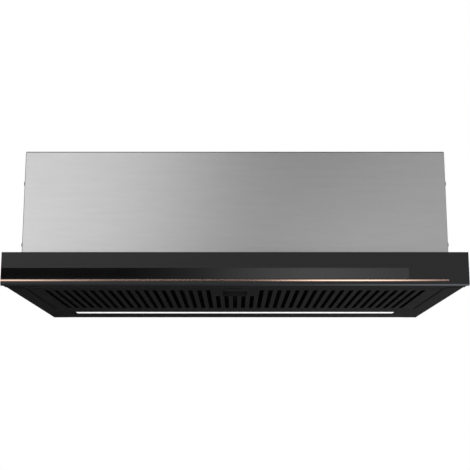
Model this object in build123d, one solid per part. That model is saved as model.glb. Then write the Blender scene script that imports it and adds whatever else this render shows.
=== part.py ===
from build123d import *
import math
import os

# Pull-out built-in hood, closed. X runs to the right, Y to the back and Z up, in millimetres.
# The origin is under the middle of the hood, level with the front panel's lower edge.

# Whole hood
HOOD_WIDTH = 598.0
HOOD_DEPTH = 310.0
CASING_INSET = 17.6
CASING_TOP = 188.2
FRAME_INSET = 0.6
FRAME_TOP = 41.8
UNDERSIDE = 1.7
SHEET = 1.0
BEND = 1.0
FRONT_GAP = 0.5

# Front panel
PANEL_HEIGHT = 43.3
PANEL_DEPTH = 28.0
FACING = 4.0
FACING_LIP = 1.8
BEVEL = 2.0
PROFILE_WALL = 1.8
PROFILE_LIP = 7.0
PROFILE_CORNER = 3.0
END_CAP = 3.0
END_PLUG = 6.0
PLUG_GAP = 0.2
STRIP_BOTTOM = 8.4
STRIP_TOP = 22.7
STRIP_DEPTH = 1.2
STRIP_SHORT = 77.0
TRIM_BOTTOM = 5.2
TRIM_TOP = 7.8
TRIM_DEPTH = 1.6
TRIM_LEAN = 0.6
TRIM_SHORT = 26.4
TRIM_RETURN = 1.0
BOARD = 1.6
TOUCH_BOARD_LENGTH = 190.0
TOUCH_BOARD_MARGIN = 1.5
TOUCH_BOARD_INSET = 12.0

# Drawer that carries the panel and the filter
RAIL_WIDTH = 23.4
RAIL_SEAM = 1.0
REAR_RAIL_DEPTH = 88.5
TRAY_REAR_GAP = 1.5
TRAY_TOP = 31.8
TRAY_FLANGE = 5.0
LEDGE_WIDTH = 10.0
LEDGE_SHORT = 20.0
COVER_LENGTH = 167.0
COVER_LIP = 8.0
LIP_GAP = 0.3
DRAWER_TRAVEL = 170.0
MAGNET = (8.0, 12.0, 3.0)
MAGNET_CORNER = 2.0
MAGNET_INSET = 13.0
MAGNET_GAP = 2.0
SCREW_R = 2.0
SCREW_HOLE_GAP = 0.05
SCREW_HEAD_R = 3.5
SCREW_HEAD = 1.8
SCREW_LENGTH = 6.0
PANEL_SCREW_PITCH = 100.0
PANEL_SCREW_COUNT = 6

# Ball-bearing runners between the drawer and the side rails
RUNNER_THICKNESS = 12.5
RUNNER_SHEET = 1.2
RUNNER_LENGTH = 260.0
RUNNER_MID = 22.3
INNER_HEIGHT = 15.0
FLANGE_SHORT = 4.0
OUTER_FLANGE_SHORT = 3.0
BALL_R = 1.8
BALL_GAP = 0.1
CAGE_SHEET = 0.6
CAGE_LENGTH = 80.0
CAGE_HOLE_GAP = 0.15
BALLS_PER_RACE = 3

# Grease filter that swings down out of the drawer
FILTER_SIDE_GAP = 1.5
FILTER_FRONT_GAP = 1.0
FILTER_REAR_GAP = 1.0
RIM_HEIGHT = 10.5
SLOT_PITCH = 11.95
SLOT_WIDTH = 6.0
SLOT_SIDE_MARGIN = 15.0
SLOT_FRONT_MARGIN = 13.0
SLOT_REAR_MARGIN = 12.0
SHORT_SLOT_MARGIN = 61.0
SHORT_SLOT_REACH = 30.0
MESH_GAP = 0.4
MESH_HEIGHT = 6.5
MESH_SHEET = 1.0
MESH_PLEATS = 14
BACK_HEIGHT = 1.0
BACK_BAR = 8.0
BACK_COLUMNS = 8
BACK_ROWS = 3
LATCH_BAY = 29.0
PIVOT_FROM_REAR = 5.0
PIVOT_UP = 4.2
PIVOT_R = 2.0
PIVOT_GAP = 0.05
PIVOT_HEAD_R = 3.0
PIVOT_HEAD = 1.5
PIVOT_PROUD = 0.5

# Finger latch of the filter
CUP_HALF = 16.5
CUP_FRONT = 22.5
CUP_LENGTH = 33.0
CUP_HEIGHT = 9.0
CUP_WALL = 2.5
CUP_ROOF = 1.5
LATCH_GAP = 0.3
LATCH_THICKNESS = 1.8
LATCH_SIDE_GAP = 1.0
LATCH_START = 1.5
LATCH_TRAVEL = 5.0
LATCH_END_GAP = 0.5
PADDLE = 2.0
PADDLE_RECESS = 1.2
TONGUE_HALF = 8.0
TONGUE_OVERLAP = 2.2
SHOULDER_HALF = 15.0
SHOULDER_DEPTH = 2.0
SPRING_LENGTH = 10.0
SPRING_WIRE = 0.6
SPRING_FOLDS = 4
SPRING_SIDE = 1.2
SPRING_TALL = 1.4
KEEPER_SHEET = 0.5
KEEPER_HALF = 6.0
KEEPER_HEIGHT = 9.0
NOTCH_GAP = 2.0

# Light in the rear rail
LED_MARGIN = 26.0
LED_WIDTH = 14.7
LED_SETBACK = 26.2
LED_SHOULDER = 1.0
LED_LENS = 2.0
LED_WALL = 1.2
LED_CHANNEL = 10.0
REAR_LIP = 11.0
REAR_FLANGE = 12.0

# Base plate and the two fixed filters under it
SEAT_HEM = 14.0
INTAKE_INNER = 85.0
INTAKE_MARGIN = 48.4
INTAKE_FRONT = 48.0
INTAKE_REAR = 205.0
INTAKE_CORNER = 8.0
INNER_FILTER_HEIGHT = 6.0
INNER_FILTER_LAP = 5.0
INNER_FILTER_BAR = 8.0
INNER_MESH_RISE = 2.0
INNER_MESH_SHEET = 1.2

# Casing
CASING_CORNER = 1.5
CASING_RETURN = 15.0
CASING_BACK_GAP = 1.0
SIDE_FLANGE = 14.0
LID_FLANGE = 12.0
CASING_SCREW_HEIGHTS = (60.8, 144.8)
CASING_SCREW_INSET = 7.0
FIX_HOLE_R = 2.5
FIX_SPACING_Y = 150.0
FIX_SPACING_Z = 60.0
FIX_MID_DEPTH = 170.0
FIX_MID_HEIGHT = 116.8

# Outlet collar with its two flaps
COLLAR_R = 59.5
COLLAR_WALL = 2.0
COLLAR_HEIGHT = 36.0
COLLAR_FLANGE = 14.0
COLLAR_FLANGE_HEIGHT = 3.0
COLLAR_DEPTH = 200.0
COLLAR_LID_GAP = 0.5
COLLAR_SCREWS = 4
FLAP_HEIGHT = 15.0
FLAP_SHEET = 1.2
FLAP_GAP = 1.0
FLAP_PIN_R = 1.25
FLAP_PIN_GAP = 0.05
FLAP_BARREL_R = 2.0
FLAP_OFFSET = 3.6
FLAP_BAR = 2.0
FLAP_BAR_HEIGHT = 8.0
FLAP_SEAT = 3.5
FLAP_SEAT_HEIGHT = 1.5
FLAP_SEAT_GAP = 0.4

# Double-inlet blower
VOLUTE_R = 78.0
VOLUTE_STEP = 8.0
OUTLET_FRONT = 34.0
OUTLET_FLARE = 22.0
SHELL_HALF = 60.0
SHELL_WALL = 2.0
SHELL_FOOT = 24.0
SHELL_FOOT_HEIGHT = 14.0
INLET_R = 43.0
INLET_RING = 9.0
INLET_LIP = 5.0
INLET_FLARE = 2.0
IMPELLER_R = 50.0
IMPELLER_GAP = 5.0
IMPELLER_DISC = 3.0
IMPELLER_RING = 2.0
BLADE_COUNT = 28
BLADE_DEPTH = 9.0
BLADE_SHEET = 1.0
BLADE_SWEEP = 7.0
BLADE_BULGE = 1.6
HUB_R = 10.0
HUB_LENGTH = 28.0
SHAFT_R = 4.0
SHAFT_GAP = 0.05
SHAFT_TAIL = 4.0
MOTOR_R = 38.0
MOTOR_LENGTH = 52.0
MOTOR_STANDOFF = 18.0
MOTOR_BOSS_R = 11.0
MOTOR_BOSS = 5.0
MOTOR_SHOULDER = 6.0
BRACKET = 2.0
BRACKET_ARM = 12.0
BRACKET_HUB_R = 24.0
BRACKET_RING = 12.0
BRACKET_HOLE_R = 13.0
POST_R = 4.0
POST_CIRCLE = 20.0

# Electrical pieces on the base plate
CAPACITOR_R = 17.0
CAPACITOR_LENGTH = 58.0
CAPACITOR_FROM_SIDE = 76.4
CAPACITOR_FROM_BACK = 47.0
CAPACITOR_CLIP = 3.0
CAPACITOR_CLIP_WIDTH = 20.0
BOX_SIZE = (112.0, 72.0, 34.0)
BOX_FROM_SIDE = 76.4
BOX_BACK_GAP = 4.0
BOX_WALL = 2.0
BOX_LID = 2.0
BOX_LID_SKIRT = 4.0
BOX_POST = 8.0
BOX_POST_R = 3.0
BOARD_MARGIN = 4.0
TERMINAL = (42.0, 18.0, 12.0)
TERMINAL_WAYS = 5
GLAND_FROM_BACK = 47.0
GLAND_R = 11.0
GLAND_HEIGHT = 7.0
GLAND_NECK_R = 8.0
GLAND_NECK = 6.0
GLAND_BORE_R = 4.0
GLAND_TAIL = 10.0
GLAND_TAIL_R = 7.5
REED = (8.0, 26.0)
LEAD_R = 3.0
LEAD_BEND = 12.0
LEAD_GAP = 0.3
LEAD_HOLE_GAP = 0.3
LEAD_RISE = 9.0
MOTOR_LEAD_PLACE = 22.0
CAPACITOR_LEAD_PLACE = 42.0
LAMP_LEAD_FROM_END = 5.0

# Places worked out from the sizes above
PANEL_HALF = HOOD_WIDTH / 2
FRAME_HALF = PANEL_HALF - FRAME_INSET
CASING_HALF = PANEL_HALF - CASING_INSET
TRAY_HALF = FRAME_HALF - RAIL_WIDTH
RAIL_FRONT = PANEL_DEPTH + FRONT_GAP
RAIL_INNER = TRAY_HALF + RAIL_SEAM
RUNNER_SEAT = TRAY_HALF + RUNNER_THICKNESS
RUNNER_FRONT = RAIL_FRONT + BEND
REAR_RAIL_FRONT = HOOD_DEPTH - REAR_RAIL_DEPTH
TRAY_FRONT = PANEL_DEPTH + SHEET
TRAY_REAR = REAR_RAIL_FRONT - TRAY_REAR_GAP
BALL_SPACE = 2 * (BALL_R + BALL_GAP)
OUTER_HEIGHT = INNER_HEIGHT + 2 * BALL_SPACE + 2 * RUNNER_SHEET
BALL_OFFSET = INNER_HEIGHT / 2 + BALL_SPACE / 2
FILTER_HALF = TRAY_HALF - SHEET - FILTER_SIDE_GAP
FILTER_FRONT = PANEL_DEPTH + TRAY_FLANGE + FILTER_FRONT_GAP
FILTER_REAR = TRAY_REAR - FILTER_REAR_GAP
FACE_TOP = UNDERSIDE + SHEET
RIM_TOP = UNDERSIDE + RIM_HEIGHT
LEDGE_BOTTOM = RIM_TOP + SHEET
PIVOT_DEPTH = FILTER_REAR - PIVOT_FROM_REAR
PIVOT_HEIGHT = UNDERSIDE + PIVOT_UP
CUP_START = FILTER_FRONT + CUP_FRONT
CUP_TOP = FACE_TOP + CUP_HEIGHT
LATCH_TOP = CUP_TOP - CUP_ROOF - LATCH_GAP
LATCH_BOTTOM = LATCH_TOP - LATCH_THICKNESS
PADDLE_REAR = CUP_START + CUP_LENGTH - LATCH_TRAVEL - LATCH_END_GAP
KEEPER_TOP = LATCH_BOTTOM - LATCH_GAP
KEEPER_REAR = PANEL_DEPTH + TRAY_FLANGE
TONGUE_TIP = KEEPER_REAR - TONGUE_OVERLAP
SHOULDER_REAR = CUP_START - CUP_WALL - SPRING_LENGTH
LED_HALF = RAIL_INNER - LED_MARGIN
LED_FRONT = REAR_RAIL_FRONT + LED_SETBACK
LED_REAR = LED_FRONT + LED_WIDTH
INTAKE_OUTER = FRAME_HALF - INTAKE_MARGIN
BASE_TOP = FRAME_TOP + SHEET
CASING_FRONT = PANEL_DEPTH + 2 * FRONT_GAP
CASING_BACK = HOOD_DEPTH - CASING_BACK_GAP
LID_TOP = CASING_TOP - SHEET
LID_BOTTOM = LID_TOP - SHEET
SIDE_HALF = CASING_HALF - SHEET
LID_HALF = SIDE_HALF - SHEET
SIDE_FRONT = CASING_FRONT + CASING_CORNER
FLAP_LEVEL = LID_TOP + FLAP_HEIGHT
COLLAR_BORE_R = COLLAR_R - COLLAR_WALL
OUTLET_REAR = VOLUTE_R + VOLUTE_STEP / 2 + OUTLET_FLARE
BLOWER_DEPTH = COLLAR_DEPTH - (OUTLET_FRONT + OUTLET_REAR) / 2
BLOWER_HEIGHT = BASE_TOP + VOLUTE_R - VOLUTE_STEP / 2 + SHELL_WALL
IMPELLER_HALF = SHELL_HALF - INLET_LIP - IMPELLER_GAP
MOTOR_FACE = SHELL_HALF + BRACKET + MOTOR_STANDOFF
BOX_MIDDLE = CASING_HALF - BOX_FROM_SIDE
BOX_PLACE = (BOX_MIDDLE, CASING_BACK - SIDE_FLANGE - BOX_BACK_GAP - BOX_SIZE[1] / 2)
GLAND_PLACE = (BOX_MIDDLE, CASING_BACK - GLAND_FROM_BACK)
CAPACITOR_PLACE = (CAPACITOR_FROM_SIDE - CASING_HALF, CASING_BACK - CAPACITOR_FROM_BACK)
COVER_REAR = PANEL_DEPTH + COVER_LENGTH
COVER_TOP = TRAY_TOP + SHEET


def depth(place):
    """Y of a place measured back from the panel's face."""
    return place - HOOD_DEPTH / 2


def span(low_a, high_a, low_b, high_b):
    """Flat rectangle between two pairs of limits."""
    middle = Pos((low_a + high_a) / 2, (low_b + high_b) / 2)
    return middle * Rectangle(high_a - low_a, high_b - low_b)


def across(section, left, right):
    """Solid of a section drawn in depth and height, from left to right."""
    face = Pos(left, -HOOD_DEPTH / 2, 0) * (Plane.YZ * section)
    return extrude(face, amount=right - left, dir=(1, 0, 0))


def lengthways(section, front, rear):
    """Solid of a section drawn in width and height, from front to rear."""
    face = Pos(0, depth(front), 0) * (Plane.XZ * section)
    return extrude(face, amount=rear - front, dir=(0, 1, 0))


def upright(outline, bottom, top):
    """Solid of an outline drawn in width and depth, from bottom to top."""
    face = Pos(0, -HOOD_DEPTH / 2, bottom) * outline
    return extrude(face, amount=top - bottom, dir=(0, 0, 1))


def folded(points, sheet=SHEET, bend=BEND):
    """Section of a sheet folded along points that follow the middle of the sheet."""
    return trace(FilletPolyline(*points, radius=bend), line_width=sheet)


def other_side(shape):
    """The same piece on the left-hand side."""
    return mirror(shape, about=Plane.YZ)


def rod_across(radius, left, right, place, height):
    """Round bar along X."""
    return across(Pos(place, height) * Circle(radius), left, right)


def rod_lengthways(radius, front, rear, place, height):
    """Round bar along Y."""
    return lengthways(Pos(place, height) * Circle(radius), front, rear)


def panel_screw_places():
    first = -PANEL_SCREW_PITCH * (PANEL_SCREW_COUNT - 1) / 2
    return [first + PANEL_SCREW_PITCH * index for index in range(PANEL_SCREW_COUNT)]


def panel_screw_height():
    return (LEDGE_BOTTOM + SHEET + TRAY_TOP) / 2


def strip_recess():
    return across(span(0, STRIP_DEPTH, STRIP_BOTTOM, STRIP_TOP), -PANEL_HALF, PANEL_HALF - STRIP_SHORT)


def trim_recess():
    along_front = across(span(0, TRIM_DEPTH, TRIM_BOTTOM, TRIM_TOP), -PANEL_HALF, PANEL_HALF - TRIM_SHORT)
    round_end = across(span(0, FACING, TRIM_BOTTOM, TRIM_TOP), -PANEL_HALF, -PANEL_HALF + TRIM_RETURN)
    return along_front + round_end


def panel_facing():
    """Black facing that hangs below its channel, bevelled there, with recesses for strip and trim."""
    corners = ((0, BEVEL), (BEVEL, 0), (FACING, 0), (FACING, PANEL_HEIGHT), (0, PANEL_HEIGHT))
    section = make_face(Polyline(*corners, close=True))
    return across(section, -PANEL_HALF, PANEL_HALF) - strip_recess() - trim_recess()


def control_strip():
    """Gloss strip over the touch controls, let in flush with the facing."""
    return strip_recess()


def copper_trim():
    """Bright trim along the facing and round its left end, curving back towards its lower edge."""
    middle = (TRIM_BOTTOM + TRIM_TOP) / 2
    curve = ThreePointArc((0, TRIM_TOP), (TRIM_LEAN / 4, middle), (TRIM_LEAN, TRIM_BOTTOM))
    back = Polyline((TRIM_LEAN, TRIM_BOTTOM), (TRIM_DEPTH, TRIM_BOTTOM), (TRIM_DEPTH, TRIM_TOP),
                    (0, TRIM_TOP))
    bar = across(make_face([curve, back]), -PANEL_HALF, PANEL_HALF - TRIM_SHORT)
    end = across(span(TRIM_DEPTH, FACING, TRIM_BOTTOM, TRIM_TOP), -PANEL_HALF, -PANEL_HALF + TRIM_RETURN)
    return bar + end


def profile_outline():
    outline = span(FACING, PANEL_DEPTH, FACING_LIP, PANEL_HEIGHT)
    return fillet(outline.vertices().group_by(Axis.X)[-1], PROFILE_CORNER)


def profile_cavity(gap=0.0):
    wall = PROFILE_WALL + gap
    return span(FACING + wall, PANEL_DEPTH - wall, FACING_LIP + wall, PANEL_HEIGHT - wall)


def panel_profile():
    """Extruded channel behind the facing, open to the front so that the board lies on the facing."""
    low = FACING_LIP + PROFILE_LIP
    mouth = span(FACING, FACING + PROFILE_WALL, low, PANEL_HEIGHT - PROFILE_LIP)
    section = profile_outline() - profile_cavity() - mouth
    channel = across(section, -PANEL_HALF + END_CAP, PANEL_HALF - END_CAP)
    for place in panel_screw_places():
        hole_r = SCREW_R + SCREW_HOLE_GAP
        start = PANEL_DEPTH - 2 * PROFILE_WALL
        channel -= rod_lengthways(hole_r, start, PANEL_DEPTH, place, panel_screw_height())
    return channel


def panel_end_cap():
    """Moulded cap with a hollow plug that closes the right end of the channel."""
    plate = across(profile_outline(), PANEL_HALF - END_CAP, PANEL_HALF)
    ring = profile_cavity(PLUG_GAP) - profile_cavity(PLUG_GAP + PROFILE_WALL)
    return plate + across(ring, PANEL_HALF - END_CAP - END_PLUG, PANEL_HALF - END_CAP)


def touch_board():
    """Circuit board with the touch fields, stuck to the back of the facing."""
    right = PANEL_HALF - STRIP_SHORT - TOUCH_BOARD_INSET
    low = FACING_LIP + PROFILE_LIP + TOUCH_BOARD_MARGIN
    section = span(FACING, FACING + BOARD, low, STRIP_TOP - TOUCH_BOARD_MARGIN)
    return across(section, right - TOUCH_BOARD_LENGTH, right)


def panel_screws():
    """Screws from inside the drawer into the back of the panel's channel."""
    screws = []
    for place in panel_screw_places():
        height = panel_screw_height()
        shank = rod_lengthways(SCREW_R, TRAY_FRONT - SCREW_LENGTH, TRAY_FRONT, place, height)
        head = rod_lengthways(SCREW_HEAD_R, TRAY_FRONT, TRAY_FRONT + SCREW_HEAD, place, height)
        screws.append(shank + head)
    return Compound(children=screws)


def pivot_hole():
    """Clearance for the filter's right pivot pin in the drawer's wall."""
    return rod_across(PIVOT_R + PIVOT_GAP, TRAY_HALF - 2 * SHEET, TRAY_HALF, PIVOT_DEPTH, PIVOT_HEIGHT)


def drawer_tray():
    """Folded drawer: a front wall with a flange under it, and two side walls."""
    low = UNDERSIDE + SHEET / 2
    wall = PANEL_DEPTH + SHEET / 2
    section = folded([(PANEL_DEPTH + TRAY_FLANGE, low), (wall, low), (wall, TRAY_TOP)])
    front = across(section, -TRAY_HALF, TRAY_HALF)
    inner = TRAY_HALF - SHEET
    side = lengthways(span(inner, TRAY_HALF, UNDERSIDE, TRAY_TOP), TRAY_FRONT, TRAY_REAR) - pivot_hole()
    notch_half = TONGUE_HALF + NOTCH_GAP
    notch = span(-notch_half, notch_half, TRAY_FRONT + BEND, PANEL_DEPTH + TRAY_FLANGE)
    tray = front + side + other_side(side) - upright(notch, UNDERSIDE, FACE_TOP)
    for place in panel_screw_places():
        hole_r = SCREW_R + SCREW_HOLE_GAP
        tray -= rod_lengthways(hole_r, PANEL_DEPTH, TRAY_FRONT, place, panel_screw_height())
    return tray


def filter_stops():
    """Strips on the drawer's side walls that the filter closes against."""
    inner = TRAY_HALF - SHEET
    section = span(inner - LEDGE_WIDTH, inner, LEDGE_BOTTOM, LEDGE_BOTTOM + SHEET)
    right = lengthways(section, TRAY_FRONT, TRAY_REAR - LEDGE_SHORT)
    return Compound(children=[right, other_side(right)])


def drawer_cover():
    """Sheet that roofs the drawer behind the panel, with a stiffening lip at its rear edge."""
    plate = upright(span(-TRAY_HALF, TRAY_HALF, PANEL_DEPTH, COVER_REAR), TRAY_TOP, COVER_TOP)
    lip_half = TRAY_HALF - SHEET - LIP_GAP
    lip = across(span(COVER_REAR - SHEET, COVER_REAR, TRAY_TOP - COVER_LIP, TRAY_TOP), -lip_half, lip_half)
    return plate + lip


def magnet_place():
    """Middle of the drawer magnet in width and depth."""
    width, length, height = MAGNET
    return TRAY_HALF - MAGNET_INSET, COVER_REAR - length


def drawer_magnet():
    """Magnet on the drawer's cover that works the reed switch."""
    width, length, height = MAGNET
    outline = Pos(*magnet_place()) * RectangleRounded(width, length, MAGNET_CORNER)
    return upright(outline, COVER_TOP, COVER_TOP + height)


def runner_inner():
    """Inner member of the right runner, fixed to the drawer's side."""
    web = TRAY_HALF + RUNNER_SHEET / 2
    tip = RUNNER_SEAT - FLANGE_SHORT
    rise = INNER_HEIGHT / 2 - RUNNER_SHEET / 2
    low = RUNNER_MID - rise
    high = RUNNER_MID + rise
    section = folded([(tip, low), (web, low), (web, high), (tip, high)], RUNNER_SHEET, RUNNER_SHEET)
    return lengthways(section, RUNNER_FRONT, RUNNER_FRONT + RUNNER_LENGTH)


def runner_outer():
    """Outer member of the right runner, fixed to the side rail."""
    web = RUNNER_SEAT - RUNNER_SHEET / 2
    tip = TRAY_HALF + OUTER_FLANGE_SHORT
    rise = OUTER_HEIGHT / 2 - RUNNER_SHEET / 2
    low = RUNNER_MID - rise
    high = RUNNER_MID + rise
    section = folded([(tip, low), (web, low), (web, high), (tip, high)], RUNNER_SHEET, RUNNER_SHEET)
    return lengthways(section, RUNNER_FRONT, RUNNER_FRONT + RUNNER_LENGTH)


def ball_places():
    """Depth and height of each ball in the right runner."""
    step = CAGE_LENGTH / BALLS_PER_RACE
    middle = cage_middle()
    first = middle - step * (BALLS_PER_RACE - 1) / 2
    rows = (RUNNER_MID - BALL_OFFSET, RUNNER_MID + BALL_OFFSET)
    return [(first + step * index, row) for index in range(BALLS_PER_RACE) for row in rows]


def ball_width_place():
    return TRAY_HALF + RUNNER_THICKNESS / 2


def cage_middle():
    """Middle of the ball cage, which stays between both members over the whole travel."""
    overlap = RUNNER_LENGTH - DRAWER_TRAVEL
    return RUNNER_FRONT + overlap / 2 + DRAWER_TRAVEL / 2


def ball_cage():
    """Pressed strip that keeps the right runner's balls apart."""
    web = (RUNNER_SEAT - FLANGE_SHORT + RUNNER_SEAT - RUNNER_SHEET) / 2
    tip = TRAY_HALF + OUTER_FLANGE_SHORT
    low = RUNNER_MID - BALL_OFFSET
    high = RUNNER_MID + BALL_OFFSET
    section = folded([(tip, low), (web, low), (web, high), (tip, high)], CAGE_SHEET, CAGE_SHEET)
    cage = lengthways(section, cage_middle() - CAGE_LENGTH / 2, cage_middle() + CAGE_LENGTH / 2)
    for place, height in ball_places():
        hole = Cylinder(BALL_R + CAGE_HOLE_GAP, 2 * CAGE_SHEET)
        cage -= Pos(ball_width_place(), depth(place), height) * hole
    return cage


def runner_balls():
    """Balls of both runners."""
    balls = []
    for place, height in ball_places():
        for side in (-1, 1):
            balls.append(Pos(side * ball_width_place(), depth(place), height) * Sphere(BALL_R))
    return Compound(children=balls)


def slot_rows():
    """Place across and front end of each slot in the filter's face."""
    reach = FILTER_HALF - SLOT_SIDE_MARGIN - SLOT_WIDTH / 2
    each_side = int(reach // SLOT_PITCH)
    rows = []
    for index in range(-each_side, each_side + 1):
        place = index * SLOT_PITCH
        margin = SHORT_SLOT_MARGIN if abs(place) < SHORT_SLOT_REACH else SLOT_FRONT_MARGIN
        rows.append((place, FILTER_FRONT + margin))
    return rows


def slots():
    outline = Sketch()
    for place, front in slot_rows():
        outline += span(place - SLOT_WIDTH / 2, place + SLOT_WIDTH / 2, front, FILTER_REAR - SLOT_REAR_MARGIN)
    return outline


def cup_mouth():
    return span(-CUP_HALF, CUP_HALF, CUP_START, CUP_START + CUP_LENGTH)


def tongue_slot(front, rear):
    """Room for the latch's tongue in a wall."""
    half = TONGUE_HALF + LATCH_GAP
    return lengthways(span(-half, half, LATCH_BOTTOM - LATCH_GAP, LATCH_TOP + LATCH_GAP), front, rear)


def pivot_pin():
    """Right pivot pin with its head inside the filter's rim."""
    rim = FILTER_HALF - SHEET
    head = rod_across(PIVOT_HEAD_R, rim - PIVOT_HEAD, rim, PIVOT_DEPTH, PIVOT_HEIGHT)
    shank = rod_across(PIVOT_R, rim, TRAY_HALF + PIVOT_PROUD, PIVOT_DEPTH, PIVOT_HEIGHT)
    return head + shank


def filter_face():
    """Pressed filter pan with its slots, the latch's mouth and holes for tongue and pivots."""
    outer = span(-FILTER_HALF, FILTER_HALF, FILTER_FRONT, FILTER_REAR)
    inner = span(-FILTER_HALF + SHEET, FILTER_HALF - SHEET, FILTER_FRONT + SHEET, FILTER_REAR - SHEET)
    pan = upright(outer, UNDERSIDE, RIM_TOP) - upright(inner, FACE_TOP, RIM_TOP)
    pan -= upright(slots() + cup_mouth(), UNDERSIDE, FACE_TOP)
    pan -= tongue_slot(FILTER_FRONT, FILTER_FRONT + SHEET)
    rim = FILTER_HALF - SHEET
    hole = rod_across(PIVOT_R, rim, FILTER_HALF, PIVOT_DEPTH, PIVOT_HEIGHT)
    return pan - hole - other_side(hole)


def latch_bay():
    """Room for the latch among the mesh."""
    return span(-LATCH_BAY, LATCH_BAY, FILTER_FRONT, CUP_START + CUP_LENGTH + CUP_WALL + MESH_GAP)


def pivot_bay():
    """Room for a pivot's head among the mesh, on both sides."""
    reach = PIVOT_HEAD_R + MESH_GAP
    inner = FILTER_HALF - SHEET - PIVOT_HEAD - MESH_GAP
    right = span(inner, FILTER_HALF, PIVOT_DEPTH - reach, PIVOT_DEPTH + reach)
    return right + other_side(right)


def mesh_outline():
    edge = SHEET + MESH_GAP
    whole = span(-FILTER_HALF + edge, FILTER_HALF - edge, FILTER_FRONT + edge, FILTER_REAR - edge)
    return whole - latch_bay() - pivot_bay()


def filter_mesh():
    """Pleated mesh sheet that lies in the pan, with flat crests against the face and the back plate."""
    edge = SHEET + MESH_GAP
    low = FACE_TOP + MESH_SHEET / 2
    high = FACE_TOP + MESH_HEIGHT - MESH_SHEET / 2
    step = (FILTER_REAR - FILTER_FRONT - 2 * edge) / (4 * MESH_PLEATS)
    points = []
    for pleat in range(MESH_PLEATS):
        start = FILTER_FRONT + edge + 4 * step * pleat
        points += [(start, low), (start + step, low), (start + 2 * step, high), (start + 3 * step, high)]
    pleated = across(trace(Polyline(*points), line_width=MESH_SHEET), -FILTER_HALF + edge, FILTER_HALF - edge)
    return pleated & upright(mesh_outline(), FACE_TOP, FACE_TOP + MESH_HEIGHT)


def filter_back():
    """Windowed plate that holds the mesh down."""
    bottom = FACE_TOP + MESH_HEIGHT
    cell_wide = 2 * (FILTER_HALF - SHEET - MESH_GAP - BACK_BAR / 2) / BACK_COLUMNS
    cell_long = (FILTER_REAR - FILTER_FRONT - 2 * (SHEET + MESH_GAP) - BACK_BAR) / BACK_ROWS
    window = Rectangle(cell_wide - BACK_BAR, cell_long - BACK_BAR)
    grid = GridLocations(cell_wide, cell_long, BACK_COLUMNS, BACK_ROWS)
    windows = Pos(0, (FILTER_FRONT + FILTER_REAR) / 2) * Sketch([place * window for place in grid])
    return upright(mesh_outline() - windows, bottom, bottom + BACK_HEIGHT)


def filter_pivots():
    """Pins on which the filter swings, riveted into its rim."""
    right = pivot_pin()
    return Compound(children=[right, other_side(right)])


def latch_cup():
    """Moulded finger cup over the mouth in the filter's face."""
    half = CUP_HALF + CUP_WALL
    outer = span(-half, half, CUP_START - CUP_WALL, CUP_START + CUP_LENGTH + CUP_WALL)
    cup = upright(outer, FACE_TOP, CUP_TOP) - upright(cup_mouth(), FACE_TOP, CUP_TOP - CUP_ROOF)
    return cup - tongue_slot(CUP_START - CUP_WALL, CUP_START)


def filter_latch():
    """Sprung slide: a finger pushes its paddle to the rear, which draws the tongue off the keeper."""
    half = CUP_HALF - LATCH_SIDE_GAP
    start = CUP_START + LATCH_START
    plate = upright(span(-half, half, start, PADDLE_REAR), LATCH_BOTTOM, LATCH_TOP)
    paddle_outline = span(-half, half, PADDLE_REAR - PADDLE, PADDLE_REAR)
    paddle = upright(paddle_outline, UNDERSIDE + PADDLE_RECESS, LATCH_BOTTOM)
    tongue = upright(span(-TONGUE_HALF, TONGUE_HALF, TONGUE_TIP, start), LATCH_BOTTOM, LATCH_TOP)
    shoulder_outline = span(-SHOULDER_HALF, SHOULDER_HALF, SHOULDER_REAR - SHOULDER_DEPTH, SHOULDER_REAR)
    return plate + paddle + tongue + upright(shoulder_outline, LATCH_BOTTOM, LATCH_TOP)


def latch_spring():
    """Pair of folded wire springs between the latch's shoulder and the cup."""
    inner = TONGUE_HALF + SPRING_SIDE
    outer = SHOULDER_HALF - SPRING_SIDE / 2
    first = SHOULDER_REAR + SPRING_WIRE / 2
    step = (SPRING_LENGTH - SPRING_WIRE) / SPRING_FOLDS
    points = [(inner, first)]
    for fold in range(SPRING_FOLDS + 1):
        ends = (inner, outer) if fold % 2 == 0 else (outer, inner)
        points += [(end, first + fold * step) for end in ends if (end, first + fold * step) not in points]
    middle = (LATCH_BOTTOM + LATCH_TOP) / 2
    wire = folded(points, SPRING_WIRE, SPRING_WIRE)
    right = upright(wire, middle - SPRING_TALL / 2, middle + SPRING_TALL / 2)
    return Compound(children=[right, other_side(right)])


def latch_keeper():
    """Spring-steel catch on the drawer's front wall, under the latch's tongue."""
    leaf = KEEPER_TOP - KEEPER_SHEET / 2
    root = TRAY_FRONT + KEEPER_SHEET / 2
    points = [(KEEPER_REAR, leaf), (root, leaf), (root, KEEPER_TOP + KEEPER_HEIGHT)]
    return across(folded(points, KEEPER_SHEET, KEEPER_SHEET), -KEEPER_HALF, KEEPER_HALF)


def side_rail():
    """Right side rail, folded from one sheet, with an inner wall for the runner and a closed front end."""
    half = SHEET / 2
    low = UNDERSIDE + half
    high = FRAME_TOP - half
    wall = FRAME_HALF - half
    inner = RUNNER_SEAT + half
    foot = RUNNER_MID - OUTER_HEIGHT / 2 - SHEET
    section = folded([(RAIL_INNER, low), (wall, low), (wall, high), (inner, high), (inner, foot)])
    end = span(RUNNER_SEAT, FRAME_HALF, foot, FRAME_TOP)
    rounded_end = fillet(end.vertices().group_by(Axis.Y)[-1], BEND)
    rail = lengthways(section, RAIL_FRONT, HOOD_DEPTH - SHEET)
    return rail + lengthways(rounded_end, RAIL_FRONT, RAIL_FRONT + SHEET)


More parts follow.
